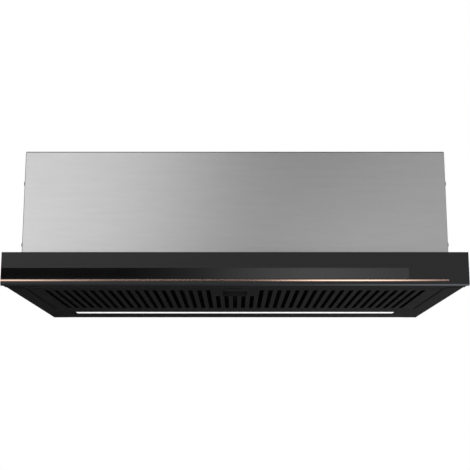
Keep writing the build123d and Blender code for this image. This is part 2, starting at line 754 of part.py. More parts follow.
def rear_rail():
    """Rear rail between the side rails, which it closes at the back, with the slot for the light."""
    half = SHEET / 2
    low = UNDERSIDE + half
    high = FRAME_TOP - half
    front = REAR_RAIL_FRONT + half
    rear = HOOD_DEPTH - half
    lip_top = UNDERSIDE + REAR_LIP
    points = [(front, lip_top), (front, low), (rear, low), (rear, high), (rear - REAR_FLANGE, high)]
    rail = across(folded(points), -RAIL_INNER, RAIL_INNER)
    corner = across(span(HOOD_DEPTH - SHEET, HOOD_DEPTH, UNDERSIDE, FRAME_TOP), RAIL_INNER, FRAME_HALF)
    rail = rail + corner + other_side(corner)
    return rail - upright(span(-LED_HALF, LED_HALF, LED_FRONT, LED_REAR), UNDERSIDE, FACE_TOP)


def led_channel():
    """Extruded channel over the slot that holds the light's board and lens."""
    front = LED_FRONT - LED_SHOULDER
    rear = LED_REAR + LED_SHOULDER
    outside = span(front - LED_WALL, rear + LED_WALL, FACE_TOP, FACE_TOP + LED_CHANNEL)
    inside = span(front, rear, FACE_TOP, FACE_TOP + LED_CHANNEL - LED_WALL)
    length = LED_HALF + LED_SHOULDER
    return across(outside - inside, -length, length)


def led_board():
    """Strip board with the light sources, under the channel's roof."""
    roof = FACE_TOP + LED_CHANNEL - LED_WALL
    section = span(LED_FRONT + LED_SHOULDER, LED_REAR - LED_SHOULDER, roof - BOARD, roof)
    return across(section, -LED_HALF, LED_HALF)


def led_diffuser():
    """Opal lens that fills the slot flush and rests on its edges."""
    pane = upright(span(-LED_HALF, LED_HALF, LED_FRONT, LED_REAR), UNDERSIDE, FACE_TOP)
    length = LED_HALF + LED_SHOULDER
    outline = span(-length, length, LED_FRONT - LED_SHOULDER, LED_REAR + LED_SHOULDER)
    return pane + upright(outline, FACE_TOP, FACE_TOP + LED_LENS)


def intake_outline(grow):
    """Right intake opening, grown on every side."""
    front = INTAKE_FRONT - grow
    rear = INTAKE_REAR + grow
    opening = span(INTAKE_INNER - grow, INTAKE_OUTER + grow, front, rear)
    return fillet(opening.vertices(), INTAKE_CORNER)


def base_plate():
    """Flat plate on the rails, with intake openings, hemmed seats at the sides and a hole for a lead."""
    outline = span(-FRAME_HALF, FRAME_HALF, CASING_FRONT, HOOD_DEPTH)
    opening = intake_outline(0)
    lead_hole = Pos(*lamp_lead_place()) * Circle(LEAD_R + LEAD_HOLE_GAP)
    plate = upright(outline - opening - other_side(opening) - lead_hole, FRAME_TOP, BASE_TOP)
    hem_outline = span(FRAME_HALF - SEAT_HEM, FRAME_HALF, CASING_FRONT, HOOD_DEPTH)
    hem = upright(hem_outline, BASE_TOP, BASE_TOP + SHEET)
    return plate + hem + other_side(hem)


def inner_filter_frames():
    """Frames of the two fixed filters, hung under the base plate's openings."""
    ring = intake_outline(INNER_FILTER_LAP) - intake_outline(INNER_FILTER_LAP - INNER_FILTER_BAR)
    right = upright(ring, FRAME_TOP - INNER_FILTER_HEIGHT, FRAME_TOP)
    return Compound(children=[right, other_side(right)])


def inner_filter_mesh():
    """Mesh of the two fixed filters."""
    outline = intake_outline(INNER_FILTER_LAP - INNER_FILTER_BAR)
    bottom = FRAME_TOP - INNER_FILTER_HEIGHT + INNER_MESH_RISE
    right = upright(outline, bottom, bottom + INNER_MESH_SHEET)
    return Compound(children=[right, other_side(right)])


def casing_screw_spots():
    """Depth and height of the screws in each side of the casing."""
    return [(CASING_FRONT + CASING_SCREW_INSET, height) for height in CASING_SCREW_HEIGHTS]


def casing_front():
    """Brushed front pan with rounded edges and returns on all four sides."""
    outline = span(-CASING_HALF, CASING_HALF, CASING_FRONT, CASING_FRONT + CASING_RETURN)
    block = upright(outline, BASE_TOP, CASING_TOP)
    rear = block.faces().sort_by(Axis.Y)[-1]
    rear_edges = rear.edges()
    rounded = fillet([edge for edge in block.edges() if edge not in rear_edges], CASING_CORNER)
    pan = offset(rounded, amount=-SHEET, openings=[rounded.faces().sort_by(Axis.Y)[-1]])
    for place, height in casing_screw_spots():
        hole = rod_across(SCREW_R + SCREW_HOLE_GAP, SIDE_HALF - SHEET, CASING_HALF, place, height)
        pan = pan - hole - other_side(hole)
    return pan


def casing_side():
    """Right side sheet with a foot flange, holes for the front's screws and for the cabinet's screws."""
    pan_rear = CASING_FRONT + CASING_RETURN
    sheet = lengthways(span(LID_HALF, SIDE_HALF, BASE_TOP, LID_BOTTOM), pan_rear, CASING_BACK - SHEET)
    sheet += lengthways(span(LID_HALF, SIDE_HALF, BASE_TOP + CASING_CORNER, LID_BOTTOM), SIDE_FRONT, pan_rear)
    foot = span(SIDE_HALF - SIDE_FLANGE, SIDE_HALF, BASE_TOP, BASE_TOP + SHEET)
    sheet += lengthways(foot, pan_rear, CASING_BACK - SIDE_FLANGE)
    for place, height in casing_screw_spots():
        sheet -= rod_across(SCREW_R + SCREW_HOLE_GAP, LID_HALF, SIDE_HALF, place, height)
    for along in (-1, 1):
        for up in (-1, 1):
            place = FIX_MID_DEPTH + along * FIX_SPACING_Y / 2
            height = FIX_MID_HEIGHT + up * FIX_SPACING_Z / 2
            sheet -= rod_across(FIX_HOLE_R, LID_HALF, SIDE_HALF, place, height)
    return sheet


def casing_back():
    """Back sheet with a foot flange."""
    sheet = across(span(CASING_BACK - SHEET, CASING_BACK, BASE_TOP, LID_TOP), -SIDE_HALF, SIDE_HALF)
    foot = span(CASING_BACK - SIDE_FLANGE, CASING_BACK - SHEET, BASE_TOP, BASE_TOP + SHEET)
    return sheet + across(foot, -LID_HALF, LID_HALF)


def casing_top():
    """Lid folded down at both sides, with the outlet's hole and the hole for the mains gland."""
    half = SHEET / 2
    edge = LID_HALF - half
    level = LID_TOP - half
    low = LID_TOP - LID_FLANGE
    section = folded([(-edge, low), (-edge, level), (edge, level), (edge, low)])
    lid = lengthways(section, SIDE_FRONT, CASING_BACK - SHEET)
    hole = Pos(0, COLLAR_DEPTH) * Circle(COLLAR_BORE_R + COLLAR_WALL / 2 + COLLAR_LID_GAP)
    gland_hole = Pos(*GLAND_PLACE) * Circle(GLAND_TAIL_R)
    return lid - upright(hole + gland_hole, LID_BOTTOM, LID_TOP)


def collar_screw_places():
    ring = COLLAR_R + COLLAR_FLANGE / 2
    turns = [math.tau * (index + 0.5) / COLLAR_SCREWS for index in range(COLLAR_SCREWS)]
    return [(ring * math.cos(turn), COLLAR_DEPTH + ring * math.sin(turn)) for turn in turns]


def casing_screws():
    """Screws in the casing's sides and in the collar's flange."""
    screws = []
    for place, height in casing_screw_spots():
        shank = rod_across(SCREW_R, CASING_HALF - SCREW_LENGTH, CASING_HALF, place, height)
        head = rod_across(SCREW_HEAD_R, CASING_HALF, CASING_HALF + SCREW_HEAD, place, height)
        screws += [shank + head, other_side(shank + head)]
    seat = LID_TOP + COLLAR_FLANGE_HEIGHT
    for place in collar_screw_places():
        head = upright(Pos(*place) * Circle(SCREW_HEAD_R), seat, seat + SCREW_HEAD)
        screws.append(head + upright(Pos(*place) * Circle(SCREW_R), LID_TOP, seat))
    return Compound(children=screws)


def flap_hinge_places():
    """Depth of the front and the rear flap's pin."""
    return COLLAR_DEPTH - FLAP_OFFSET, COLLAR_DEPTH + FLAP_OFFSET


def outlet_collar():
    """Round spigot with a flange, a bar between the flaps, a seat under them and holes for their pins."""
    seat_top = FLAP_LEVEL - FLAP_PIN_R - FLAP_SEAT_GAP
    seat_bottom = seat_top - FLAP_SEAT_HEIGHT
    top = LID_TOP + COLLAR_HEIGHT
    flange_top = LID_TOP + COLLAR_FLANGE_HEIGHT
    neck = COLLAR_BORE_R + COLLAR_WALL / 2
    seat_r = COLLAR_BORE_R - FLAP_SEAT
    section = Polyline(
        (COLLAR_BORE_R, LID_BOTTOM), (neck, LID_BOTTOM), (neck, LID_TOP), (COLLAR_R + COLLAR_FLANGE, LID_TOP),
        (COLLAR_R + COLLAR_FLANGE, flange_top), (COLLAR_R, flange_top), (COLLAR_R, top), (COLLAR_BORE_R, top),
        (COLLAR_BORE_R, seat_top), (seat_r, seat_top), (seat_r, seat_bottom), (COLLAR_BORE_R, seat_bottom),
        close=True)
    spigot = Pos(0, depth(COLLAR_DEPTH), 0) * revolve(Plane.XZ * make_face(section), axis=Axis.Z)
    bar_section = Pos(COLLAR_DEPTH, FLAP_LEVEL) * Rectangle(FLAP_BAR, FLAP_BAR_HEIGHT)
    collar = spigot + across(bar_section, -COLLAR_BORE_R, COLLAR_BORE_R)
    for place in flap_hinge_places():
        hole = rod_across(FLAP_PIN_R + FLAP_PIN_GAP, -COLLAR_R, COLLAR_R, place, FLAP_LEVEL)
        collar -= hole
    for place in collar_screw_places():
        collar -= upright(Pos(*place) * Circle(SCREW_R + SCREW_HOLE_GAP), LID_TOP, flange_top)
    return collar


def damper_flap(hinge, away):
    """Half-round flap with its barrel and pin ends; away is the side of the pin that it lies on."""
    radius = COLLAR_BORE_R - FLAP_GAP
    disc = Pos(0, COLLAR_DEPTH) * Circle(radius)
    far = hinge + away * radius
    half = disc & span(-radius, radius, min(hinge, far), max(hinge, far))
    plate = upright(half, FLAP_LEVEL - FLAP_SHEET / 2, FLAP_LEVEL + FLAP_SHEET / 2)
    barrel_half = math.sqrt((radius - FLAP_SEAT) ** 2 - (FLAP_OFFSET + FLAP_BARREL_R) ** 2)
    barrel = rod_across(FLAP_BARREL_R, -barrel_half, barrel_half, hinge, FLAP_LEVEL)
    pin_half = COLLAR_R - COLLAR_WALL / 4
    return plate + barrel + rod_across(FLAP_PIN_R, -pin_half, pin_half, hinge, FLAP_LEVEL)


def volute(wall):
    """Outline of the blower's spiral, four quarter arcs and a flared outlet, grown by wall."""
    step = VOLUTE_STEP / 2
    centre = Vector(BLOWER_DEPTH, BLOWER_HEIGHT)
    radii = [VOLUTE_R + wall - VOLUTE_STEP * quarter for quarter in range(4)]
    spots = ((step, step), (step, -step), (-step, -step), (-step, step))
    middles = [centre + Vector(*spot) for spot in spots]
    tongue = OUTLET_FRONT - wall
    turn = math.degrees(math.acos((tongue + step) / radii[3]))
    arcs = [CenterArc(middles[quarter], radii[quarter], -90 * quarter, -90) for quarter in range(3)]
    arcs.append(CenterArc(middles[3], radii[3], 90, turn - 90))
    front = (BLOWER_DEPTH + tongue, LID_BOTTOM)
    rear = (BLOWER_DEPTH + OUTLET_REAR + wall, LID_BOTTOM)
    outlet = Polyline(arcs[3] @ 1, front, rear, arcs[0] @ 0)
    return make_face([*arcs, outlet])


def blower_shell():
    """Right half of the blower's moulded housing, with its inlet and a flat foot."""
    side = across(volute(SHELL_WALL), SHELL_HALF - SHELL_WALL, SHELL_HALF)
    side -= rod_across(INLET_R, SHELL_HALF - SHELL_WALL, SHELL_HALF, BLOWER_DEPTH, BLOWER_HEIGHT)
    wall = across(volute(SHELL_WALL) - volute(0), 0, SHELL_HALF - SHELL_WALL)
    foot_top = BASE_TOP + SHELL_FOOT_HEIGHT
    foot_section = span(BLOWER_DEPTH - SHELL_FOOT, BLOWER_DEPTH + SHELL_FOOT, BASE_TOP, foot_top)
    foot = across(foot_section - volute(0), 0, SHELL_HALF)
    return side + wall + foot


def inlet_ring():
    """Bell-mouthed ring on the blower's right inlet."""
    throat = INLET_R - SHELL_WALL
    flare = ThreePointArc(
        (throat, -INLET_LIP), (throat + INLET_FLARE, 0), (throat + INLET_LIP, INLET_LIP / 2))
    section = make_face([
        flare,
        Polyline(flare @ 1, (INLET_R + INLET_RING, INLET_LIP / 2), (INLET_R + INLET_RING, 0), (INLET_R, 0),
                 (INLET_R, -INLET_LIP), flare @ 0)])
    ring = revolve(Plane.XZ * section, axis=Axis.Z)
    return Pos(SHELL_HALF, depth(BLOWER_DEPTH), BLOWER_HEIGHT) * Rot(0, 90, 0) * ring


def post_places():
    """Depth and height of the three motor posts."""
    turns = [math.tau * index / 3 for index in range(3)]
    return [(BLOWER_DEPTH + POST_CIRCLE * math.sin(turn), BLOWER_HEIGHT + POST_CIRCLE * math.cos(turn))
            for turn in turns]


def motor_bracket():
    """Three-armed spider on the blower's left inlet, with posts that hold the motor."""
    ring = Circle(INLET_R + BRACKET_RING) - Circle(INLET_R)
    arm = Pos(0, (INLET_R + BRACKET_HUB_R) / 2) * Rectangle(BRACKET_ARM, INLET_R - BRACKET_HUB_R + BRACKET)
    spider = ring + Circle(BRACKET_HUB_R)
    for index in range(3):
        spider += Rot(0, 0, index * 120) * arm
    spider = Pos(BLOWER_DEPTH, BLOWER_HEIGHT) * (spider - Circle(BRACKET_HOLE_R))
    bracket = across(spider, -SHELL_HALF - BRACKET, -SHELL_HALF)
    for place, height in post_places():
        bracket += rod_across(POST_R, -MOTOR_FACE, -SHELL_HALF - BRACKET, place, height)
    return bracket


def motor_body():
    """Round motor with stepped ends and bearing bosses, bored for its shaft."""
    inner = SHAFT_R + SHAFT_GAP
    rim = MOTOR_R - MOTOR_SHOULDER
    length = MOTOR_LENGTH
    section = Polyline(
        (inner, 0), (rim, 0), (MOTOR_R, MOTOR_SHOULDER), (MOTOR_R, length - MOTOR_SHOULDER), (rim, length),
        (MOTOR_BOSS_R, length), (MOTOR_BOSS_R, length + MOTOR_BOSS), (inner, length + MOTOR_BOSS), close=True)
    body = revolve(Plane.XZ * make_face(section), axis=Axis.Z)
    return Pos(-MOTOR_FACE, depth(BLOWER_DEPTH), BLOWER_HEIGHT) * Rot(0, -90, 0) * body


def motor_shaft():
    """Steel shaft from the motor through the impeller's hub."""
    left = -MOTOR_FACE - MOTOR_LENGTH - MOTOR_BOSS - SHAFT_TAIL
    return rod_across(SHAFT_R, left, HUB_LENGTH / 2, BLOWER_DEPTH, BLOWER_HEIGHT)


def blade_outline():
    """Forward-curved blade between the rings, drawn about the shaft."""
    inner_r = IMPELLER_R - BLADE_DEPTH
    outer_r = IMPELLER_R - IMPELLER_RING / 2
    middle_r = (inner_r + outer_r) / 2
    front = ThreePointArc((inner_r, 0), (middle_r, BLADE_BULGE), (outer_r, BLADE_SWEEP))
    back = ThreePointArc(
        (outer_r, BLADE_SWEEP - BLADE_SHEET), (middle_r, BLADE_BULGE - BLADE_SHEET), (inner_r, -BLADE_SHEET))
    return make_face([front, Line(front @ 1, back @ 0), back, Line(back @ 1, front @ 0)])


def impeller():
    """Double-inlet wheel: a disc with a hub, and a ring of blades on each side."""
    turns = [index * 360 / BLADE_COUNT for index in range(BLADE_COUNT)]
    blades = Sketch() + [Rot(0, 0, turn) * blade_outline() for turn in turns]
    end_ring = Circle(IMPELLER_R) - Circle(IMPELLER_R - BLADE_DEPTH)
    disc = Circle(IMPELLER_R) - Circle(SHAFT_R)
    hub = Circle(HUB_R) - Circle(SHAFT_R)
    half_disc = IMPELLER_DISC / 2
    right = extrude(hub, amount=HUB_LENGTH / 2) + extrude(disc, amount=half_disc)
    right += Pos(0, 0, half_disc) * extrude(blades, amount=IMPELLER_HALF - IMPELLER_RING - half_disc)
    right += Pos(0, 0, IMPELLER_HALF - IMPELLER_RING) * extrude(end_ring, amount=IMPELLER_RING)
    wheel = right + mirror(right, about=Plane.XY)
    return Pos(0, depth(BLOWER_DEPTH), BLOWER_HEIGHT) * Rot(0, 90, 0) * wheel


def run_capacitor():
    """Motor capacitor lying in its clip on the base plate."""
    place, back = CAPACITOR_PLACE
    height = BASE_TOP + CAPACITOR_CLIP + CAPACITOR_R
    half = CAPACITOR_LENGTH / 2
    can = rod_across(CAPACITOR_R, place - half, place + half, back, height)
    clip_section = span(back - CAPACITOR_R / 2, back + CAPACITOR_R / 2, BASE_TOP, height)
    return can + across(clip_section, place - CAPACITOR_CLIP_WIDTH / 2, place + CAPACITOR_CLIP_WIDTH / 2)


def box_outline(inset):
    wide, long, height = BOX_SIZE
    return Pos(*BOX_PLACE) * Rectangle(wide - 2 * inset, long - 2 * inset)


def box_posts():
    wide, long, height = BOX_SIZE
    inset = BOX_WALL + BOARD_MARGIN + BOX_POST_R
    grid = GridLocations(wide - 2 * inset, long - 2 * inset, 2, 2)
    return Pos(*BOX_PLACE) * Sketch([place * Circle(BOX_POST_R) for place in grid])


def control_box():
    """Open moulded box with posts for the mains board."""
    top = BASE_TOP + BOX_SIZE[2]
    floor = BASE_TOP + BOX_WALL
    box = upright(box_outline(0), BASE_TOP, top) - upright(box_outline(BOX_WALL), floor, top)
    return box + upright(box_posts(), floor, floor + BOX_POST)


def control_box_lid():
    """Lid of the control box with a skirt that locates inside the walls."""
    top = BASE_TOP + BOX_SIZE[2]
    inside = BOX_WALL + PLUG_GAP
    skirt = box_outline(inside) - box_outline(inside + BOX_WALL)
    return upright(box_outline(0), top, top + BOX_LID) + upright(skirt, top - BOX_LID_SKIRT, top)


def mains_board():
    """Power board on the box's posts."""
    bottom = BASE_TOP + BOX_WALL + BOX_POST
    return upright(box_outline(BOX_WALL + BOARD_MARGIN), bottom, bottom + BOARD)


def terminal_block():
    """Row of screw terminals on the mains board."""
    wide, long, height = TERMINAL
    bottom = BASE_TOP + BOX_WALL + BOX_POST + BOARD
    middle = Pos(*BOX_PLACE)
    block = upright(middle * Rectangle(wide, long), bottom, bottom + height)
    pitch = wide / TERMINAL_WAYS
    wells = Sketch([place * Circle(pitch / 4) for place in GridLocations(pitch, 0, TERMINAL_WAYS, 1)])
    return block - upright(middle * wells, bottom + height / 2, bottom + height)


def cable_gland():
    """Six-sided gland for the mains lead, in the casing's lid."""
    spot = Pos(*GLAND_PLACE)
    bore = spot * Circle(GLAND_BORE_R)
    nut = upright(spot * RegularPolygon(GLAND_R, 6), LID_TOP, LID_TOP + GLAND_HEIGHT)
    neck = upright(spot * Circle(GLAND_NECK_R), LID_TOP + GLAND_HEIGHT, LID_TOP + GLAND_HEIGHT + GLAND_NECK)
    tail = upright(spot * Circle(GLAND_TAIL_R), LID_TOP - GLAND_TAIL, LID_TOP)
    return nut + neck + tail - upright(bore, LID_TOP - GLAND_TAIL, LID_TOP + GLAND_HEIGHT + GLAND_NECK)


def lead(points):
    """Round lead that runs through points, with an even bend at each corner."""
    path = FilletPolyline(*points, radius=LEAD_BEND)
    return sweep(Plane(origin=path @ 0, z_dir=path % 0) * Circle(LEAD_R), path=path)


def lead_into_motor(left, level, start):
    """Points of a lead from a place behind the blower to the lower rear of the motor."""
    back = depth(CAPACITOR_PLACE[1])
    slant = (MOTOR_R + LEAD_GAP + LEAD_R) / math.sqrt(2)
    motor_depth = depth(BLOWER_DEPTH) + slant
    motor_height = BLOWER_HEIGHT - slant
    out = motor_height - level
    corner = (left, motor_depth + out, level)
    return [(start, back, level), (left, back, level), corner, (left, motor_depth, motor_height)]


def lamp_lead_place():
    """Place of the light's lead, down from the control box to the end of the light's channel."""
    return LED_HALF - LAMP_LEAD_FROM_END, (LED_FRONT + LED_REAR) / 2


def wiring():
    """Leads of the motor, its capacitor and the light."""
    box_wall = BOX_MIDDLE - BOX_SIZE[0] / 2 - LEAD_GAP
    can_end = CAPACITOR_PLACE[0] + CAPACITOR_LENGTH / 2 + LEAD_GAP
    can_height = BASE_TOP + CAPACITOR_CLIP + CAPACITOR_R
    motor_lead = lead(lead_into_motor(-MOTOR_FACE - MOTOR_LEAD_PLACE, BASE_TOP + LEAD_RISE, box_wall))
    capacitor_lead = lead(lead_into_motor(-MOTOR_FACE - CAPACITOR_LEAD_PLACE, can_height, can_end))
    lamp_top = BASE_TOP - LEAD_GAP
    lamp_bottom = FACE_TOP + LED_CHANNEL
    lamp_lead = upright(Pos(*lamp_lead_place()) * Circle(LEAD_R), lamp_bottom, lamp_top)
    return Compound(children=[motor_lead, capacitor_lead, lamp_lead])


def reed_switch():
    """Sealed reed switch under the base plate, above the drawer's magnet."""
    width, length = REED
    bottom = COVER_TOP + MAGNET[2] + MAGNET_GAP
    outline = Pos(*magnet_place()) * RectangleRounded(width, length, MAGNET_CORNER)
    return upright(outline, bottom, FRAME_TOP)


front_hinge, rear_hinge = flap_hinge_places()

# Each piece under its own name. A piece named right has its mirror image on the left.
pieces = {
    "panel_facing": panel_facing(),
    "control_strip": control_strip(),
    "copper_trim": copper_trim(),
    "panel_profile": panel_profile(),
    "panel_end_cap_right": panel_end_cap(),
    "touch_board": touch_board(),
    "panel_screws": panel_screws(),
    "drawer_tray": drawer_tray(),
    "filter_stops": filter_stops(),
    "drawer_cover": drawer_cover(),
    "drawer_magnet": drawer_magnet(),
    "latch_keeper": latch_keeper(),
    "runner_inner_right": runner_inner(),
    "runner_outer_right": runner_outer(),
    "ball_cage_right": ball_cage(),
    "runner_balls": runner_balls(),
    "filter_face": filter_face(),
    "filter_mesh": filter_mesh(),
    "filter_back": filter_back(),
    "filter_pivots": filter_pivots(),
    "latch_cup": latch_cup(),
    "filter_latch": filter_latch(),
    "latch_spring": latch_spring(),
    "side_rail_right": side_rail(),
    "rear_rail": rear_rail(),
    "led_channel": led_channel(),
    "led_board": led_board(),
    "led_diffuser": led_diffuser(),
    "base_plate": base_plate(),
    "inner_filter_frames": inner_filter_frames(),
    "inner_filter_mesh": inner_filter_mesh(),
    "casing_front": casing_front(),
    "casing_side_right": casing_side(),
    "casing_back": casing_back(),
    "casing_top": casing_top(),
    "casing_screws": casing_screws(),
    "outlet_collar": outlet_collar(),
    "flap_front": damper_flap(front_hinge, -1),
    "flap_rear": damper_flap(rear_hinge, 1),
    "blower_shell_right": blower_shell(),
    "inlet_ring": inlet_ring(),
    "motor_bracket": motor_bracket(),
    "motor_body": motor_body(),
    "motor_shaft": motor_shaft(),
    "impeller": impeller(),
    "run_capacitor": run_capacitor(),
    "control_box": control_box(),
    "control_box_lid": control_box_lid(),
    "mains_board": mains_board(),
    "terminal_block": terminal_block(),
    "cable_gland": cable_gland(),
    "wiring": wiring(),
    "reed_switch": reed_switch(),
}
for name in [name for name in pieces if name.endswith("_right")]:
    pieces[name.replace("_right", "_left")] = other_side(pieces[name])

os.makedirs("parts", exist_ok=True)
for name, piece in pieces.items():
    export_step(piece, f"parts/{name}.step")
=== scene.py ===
import math

import bmesh
import bpy
from mathutils import Matrix, Vector


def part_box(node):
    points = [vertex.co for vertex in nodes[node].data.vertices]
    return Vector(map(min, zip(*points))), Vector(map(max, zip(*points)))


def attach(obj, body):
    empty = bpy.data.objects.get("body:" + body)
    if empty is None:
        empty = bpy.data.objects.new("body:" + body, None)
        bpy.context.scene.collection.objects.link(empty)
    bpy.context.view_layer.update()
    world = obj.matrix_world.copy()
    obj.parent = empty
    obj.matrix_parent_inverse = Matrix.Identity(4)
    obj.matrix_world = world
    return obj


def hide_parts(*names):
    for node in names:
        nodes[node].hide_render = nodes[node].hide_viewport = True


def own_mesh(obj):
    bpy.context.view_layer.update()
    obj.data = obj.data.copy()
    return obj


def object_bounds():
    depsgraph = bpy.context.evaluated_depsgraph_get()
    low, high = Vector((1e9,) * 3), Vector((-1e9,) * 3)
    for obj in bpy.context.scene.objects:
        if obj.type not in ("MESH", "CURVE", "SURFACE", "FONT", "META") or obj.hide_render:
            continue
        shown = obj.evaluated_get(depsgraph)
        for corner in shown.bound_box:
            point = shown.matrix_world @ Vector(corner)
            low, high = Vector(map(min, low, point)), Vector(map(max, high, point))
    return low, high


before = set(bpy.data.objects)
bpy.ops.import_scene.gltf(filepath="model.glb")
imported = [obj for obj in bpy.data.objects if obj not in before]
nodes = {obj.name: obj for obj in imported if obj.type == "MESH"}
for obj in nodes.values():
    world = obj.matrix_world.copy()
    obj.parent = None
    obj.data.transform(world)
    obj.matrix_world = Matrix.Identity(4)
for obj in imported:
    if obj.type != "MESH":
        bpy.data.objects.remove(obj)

cad_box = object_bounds()


# Lower frame: two side rails and a rear rail that carry the hood. They are folded from 1 mm steel
# sheet, screwed together under the base plate, and powder coated black after folding.

def linear(colour):
    """Linear RGBA of an sRGB hex colour."""
    shares = [int(colour[at:at + 2], 16) / 255 for at in (1, 3, 5)]
    return [share / 12.92 if share <= 0.04045 else ((share + 0.055) / 1.055) ** 2.4
            for share in shares] + [1.0]


def add(tree, kind, sockets=None, stops=(), **settings):
    """Adds a shader node with its settings, fills or links its sockets, and sets a ramp's stops."""
    node = tree.nodes.new("ShaderNode" + kind)
    for name, value in settings.items():
        setattr(node, name, value)
    for socket, value in (sockets or {}).items():
        if isinstance(value, bpy.types.NodeSocket):
            tree.links.new(value, node.inputs[socket])
        else:
            node.inputs[socket].default_value = value
    for number, (place, colour) in enumerate(stops):
        if number > 1:
            node.color_ramp.elements.new(place)
        node.color_ramp.elements[number].position = place
        node.color_ramp.elements[number].color = linear(colour)
    return node


def start_finish(name, **sockets):
    """A new material with its shader's constant sockets set, and Object coordinates for its patterns."""
    material = bpy.data.materials.new(name)
    material.use_nodes = True
    tree = material.node_tree
    shader = tree.nodes["Principled BSDF"]
    for socket, value in sockets.items():
        shader.inputs[socket.replace("_", " ")].default_value = value
    return material, tree, shader.inputs, add(tree, "TexCoord").outputs["Object"]


def per_metre(millimetres):
    """Pattern scale at which one feature is that wide."""
    return 1000 / millimetres


def dress(material, *names):
    """Gives CAD nodes their finish."""
    for name in names:
        nodes[name].data.materials.clear()
        nodes[name].data.materials.append(material)


# Polyester powder baked on steel: dull near-black with the slow unevenness of a sprayed coat and
# the fine orange peel of powder that has flowed. The peel is drawn 2 mm wide so that it shows.
COAT_MOTTLE_MM = 60
COAT_PEEL_MM = 2.0
powder_coat, tree, shader, place = start_finish("polyester_powder_coat_black", Specular_IOR_Level=0.25)
mottle = add(tree, "TexNoise", {"Vector": place, "Scale": per_metre(COAT_MOTTLE_MM), "Detail": 3.0})
shade = add(tree, "ValToRGB", {"Fac": mottle.outputs["Fac"]}, ((0.35, "#131314"), (0.65, "#191919")))
dullness = add(tree, "MapRange", {"Value": mottle.outputs["Fac"], "To Min": 0.44, "To Max": 0.52})
peel = add(tree, "TexNoise", {"Vector": place, "Scale": per_metre(COAT_PEEL_MM), "Detail": 2.0})
relief = add(tree, "Bump", {"Height": peel.outputs["Fac"], "Strength": 0.2, "Distance": 0.0002})
tree.links.new(shade.outputs["Color"], shader["Base Color"])
tree.links.new(dullness.outputs["Result"], shader["Roughness"])
tree.links.new(relief.outputs["Normal"], shader["Normal"])

dress(powder_coat, "side_rail_left", "side_rail_right", "rear_rail")


# Lamp: a strip of light emitting diodes on a board, in a plastic channel clipped into the rear
# rail, behind an opal acrylic cover that is flush with the rail's underside.

# Opal acrylic, extruded: a milky white that glows evenly, a little brighter over each diode.
DIODE_PITCH_MM = 16.7
opal_acrylic, tree, shader, place = start_finish("opal_acrylic_extruded", Roughness=0.35, IOR=1.49)
along = add(tree, "SeparateXYZ", {"Vector": place})
diodes = add(tree, "Math", {0: along.outputs["X"], 1: 2 * math.pi * per_metre(DIODE_PITCH_MM)},
             operation="MULTIPLY")
beat = add(tree, "Math", {0: diodes.outputs["Value"]}, operation="COSINE")
glow = add(tree, "MapRange", {"Value": beat.outputs["Value"], "From Min": -1.0, "To Min": 0.66,
                              "To Max": 0.71})
shader["Base Color"].default_value = linear("#e9eaea")
shader["Emission Color"].default_value = linear("#fdfdff")
tree.links.new(glow.outputs["Result"], shader["Emission Strength"])
dress(opal_acrylic, "led_diffuser")

# Circuit board laminate: glass cloth under green solder mask, with the faint grid of the weave,
# which is drawn 1.2 mm wide so that it shows.
WEAVE_MM = 1.2
board_laminate, tree, shader, place = start_finish("solder_masked_laminate_green", Roughness=0.35)
weave = add(tree, "TexChecker", {"Vector": place, "Scale": per_metre(WEAVE_MM),
                                 "Color1": linear("#14532f"), "Color2": linear("#18603a")})
tree.links.new(weave.outputs["Color"], shader["Base Color"])
dress(board_laminate, "led_board", "touch_board", "mains_board")

# White polycarbonate, injection moulded: clean satin white with a faint flow unevenness.
FLOW_MM = 30
white_plastic, tree, shader, place = start_finish("polycarbonate_white_moulded", Roughness=0.42)
flow = add(tree, "TexNoise", {"Vector": place, "Scale": per_metre(FLOW_MM), "Detail": 2.0})
shade = add(tree, "ValToRGB", {"Fac": flow.outputs["Fac"]}, ((0.3, "#d9d9d4"), (0.7, "#e4e4df")))
tree.links.new(shade.outputs["Color"], shader["Base Color"])
dress(white_plastic, "led_channel", "terminal_block", "run_capacitor")


# Ball runners: on each side an outer member on the rail, an inner member on the drawer and a cage
# of balls between them. The members are rolled from zinc plated steel strip.

# Zinc plate on rolled strip: bluish silver with soft clouding, and rolling lines along its length,
# which are drawn 0.8 mm wide so that they show.
STRIP_LINE_MM = (0.8, 90.0, 0.8)
CLOUD_MM = 14
zinc_plate, tree, shader, place = start_finish("zinc_plated_steel_rolled", Metallic=1.0)
stretched = add(tree, "Mapping", {"Vector": place, "Scale": [per_metre(size) for size in STRIP_LINE_MM]})
lines = add(tree, "TexNoise", {"Vector": stretched.outputs["Vector"], "Scale": 1.0, "Detail": 4.0})
clouds = add(tree, "TexNoise", {"Vector": place, "Scale": per_metre(CLOUD_MM), "Detail": 3.0})
shade = add(tree, "ValToRGB", {"Fac": clouds.outputs["Fac"]}, ((0.3, "#a9adb2"), (0.7, "#c3c6c9")))
dullness = add(tree, "MapRange", {"Value": lines.outputs["Fac"], "To Min": 0.26, "To Max": 0.44})
tree.links.new(shade.outputs["Color"], shader["Base Color"])
tree.links.new(dullness.outputs["Result"], shader["Roughness"])
dress(zinc_plate, "runner_outer_left", "runner_outer_right", "runner_inner_left", "runner_inner_right",
      "ball_cage_left", "ball_cage_right", "filter_pivots")

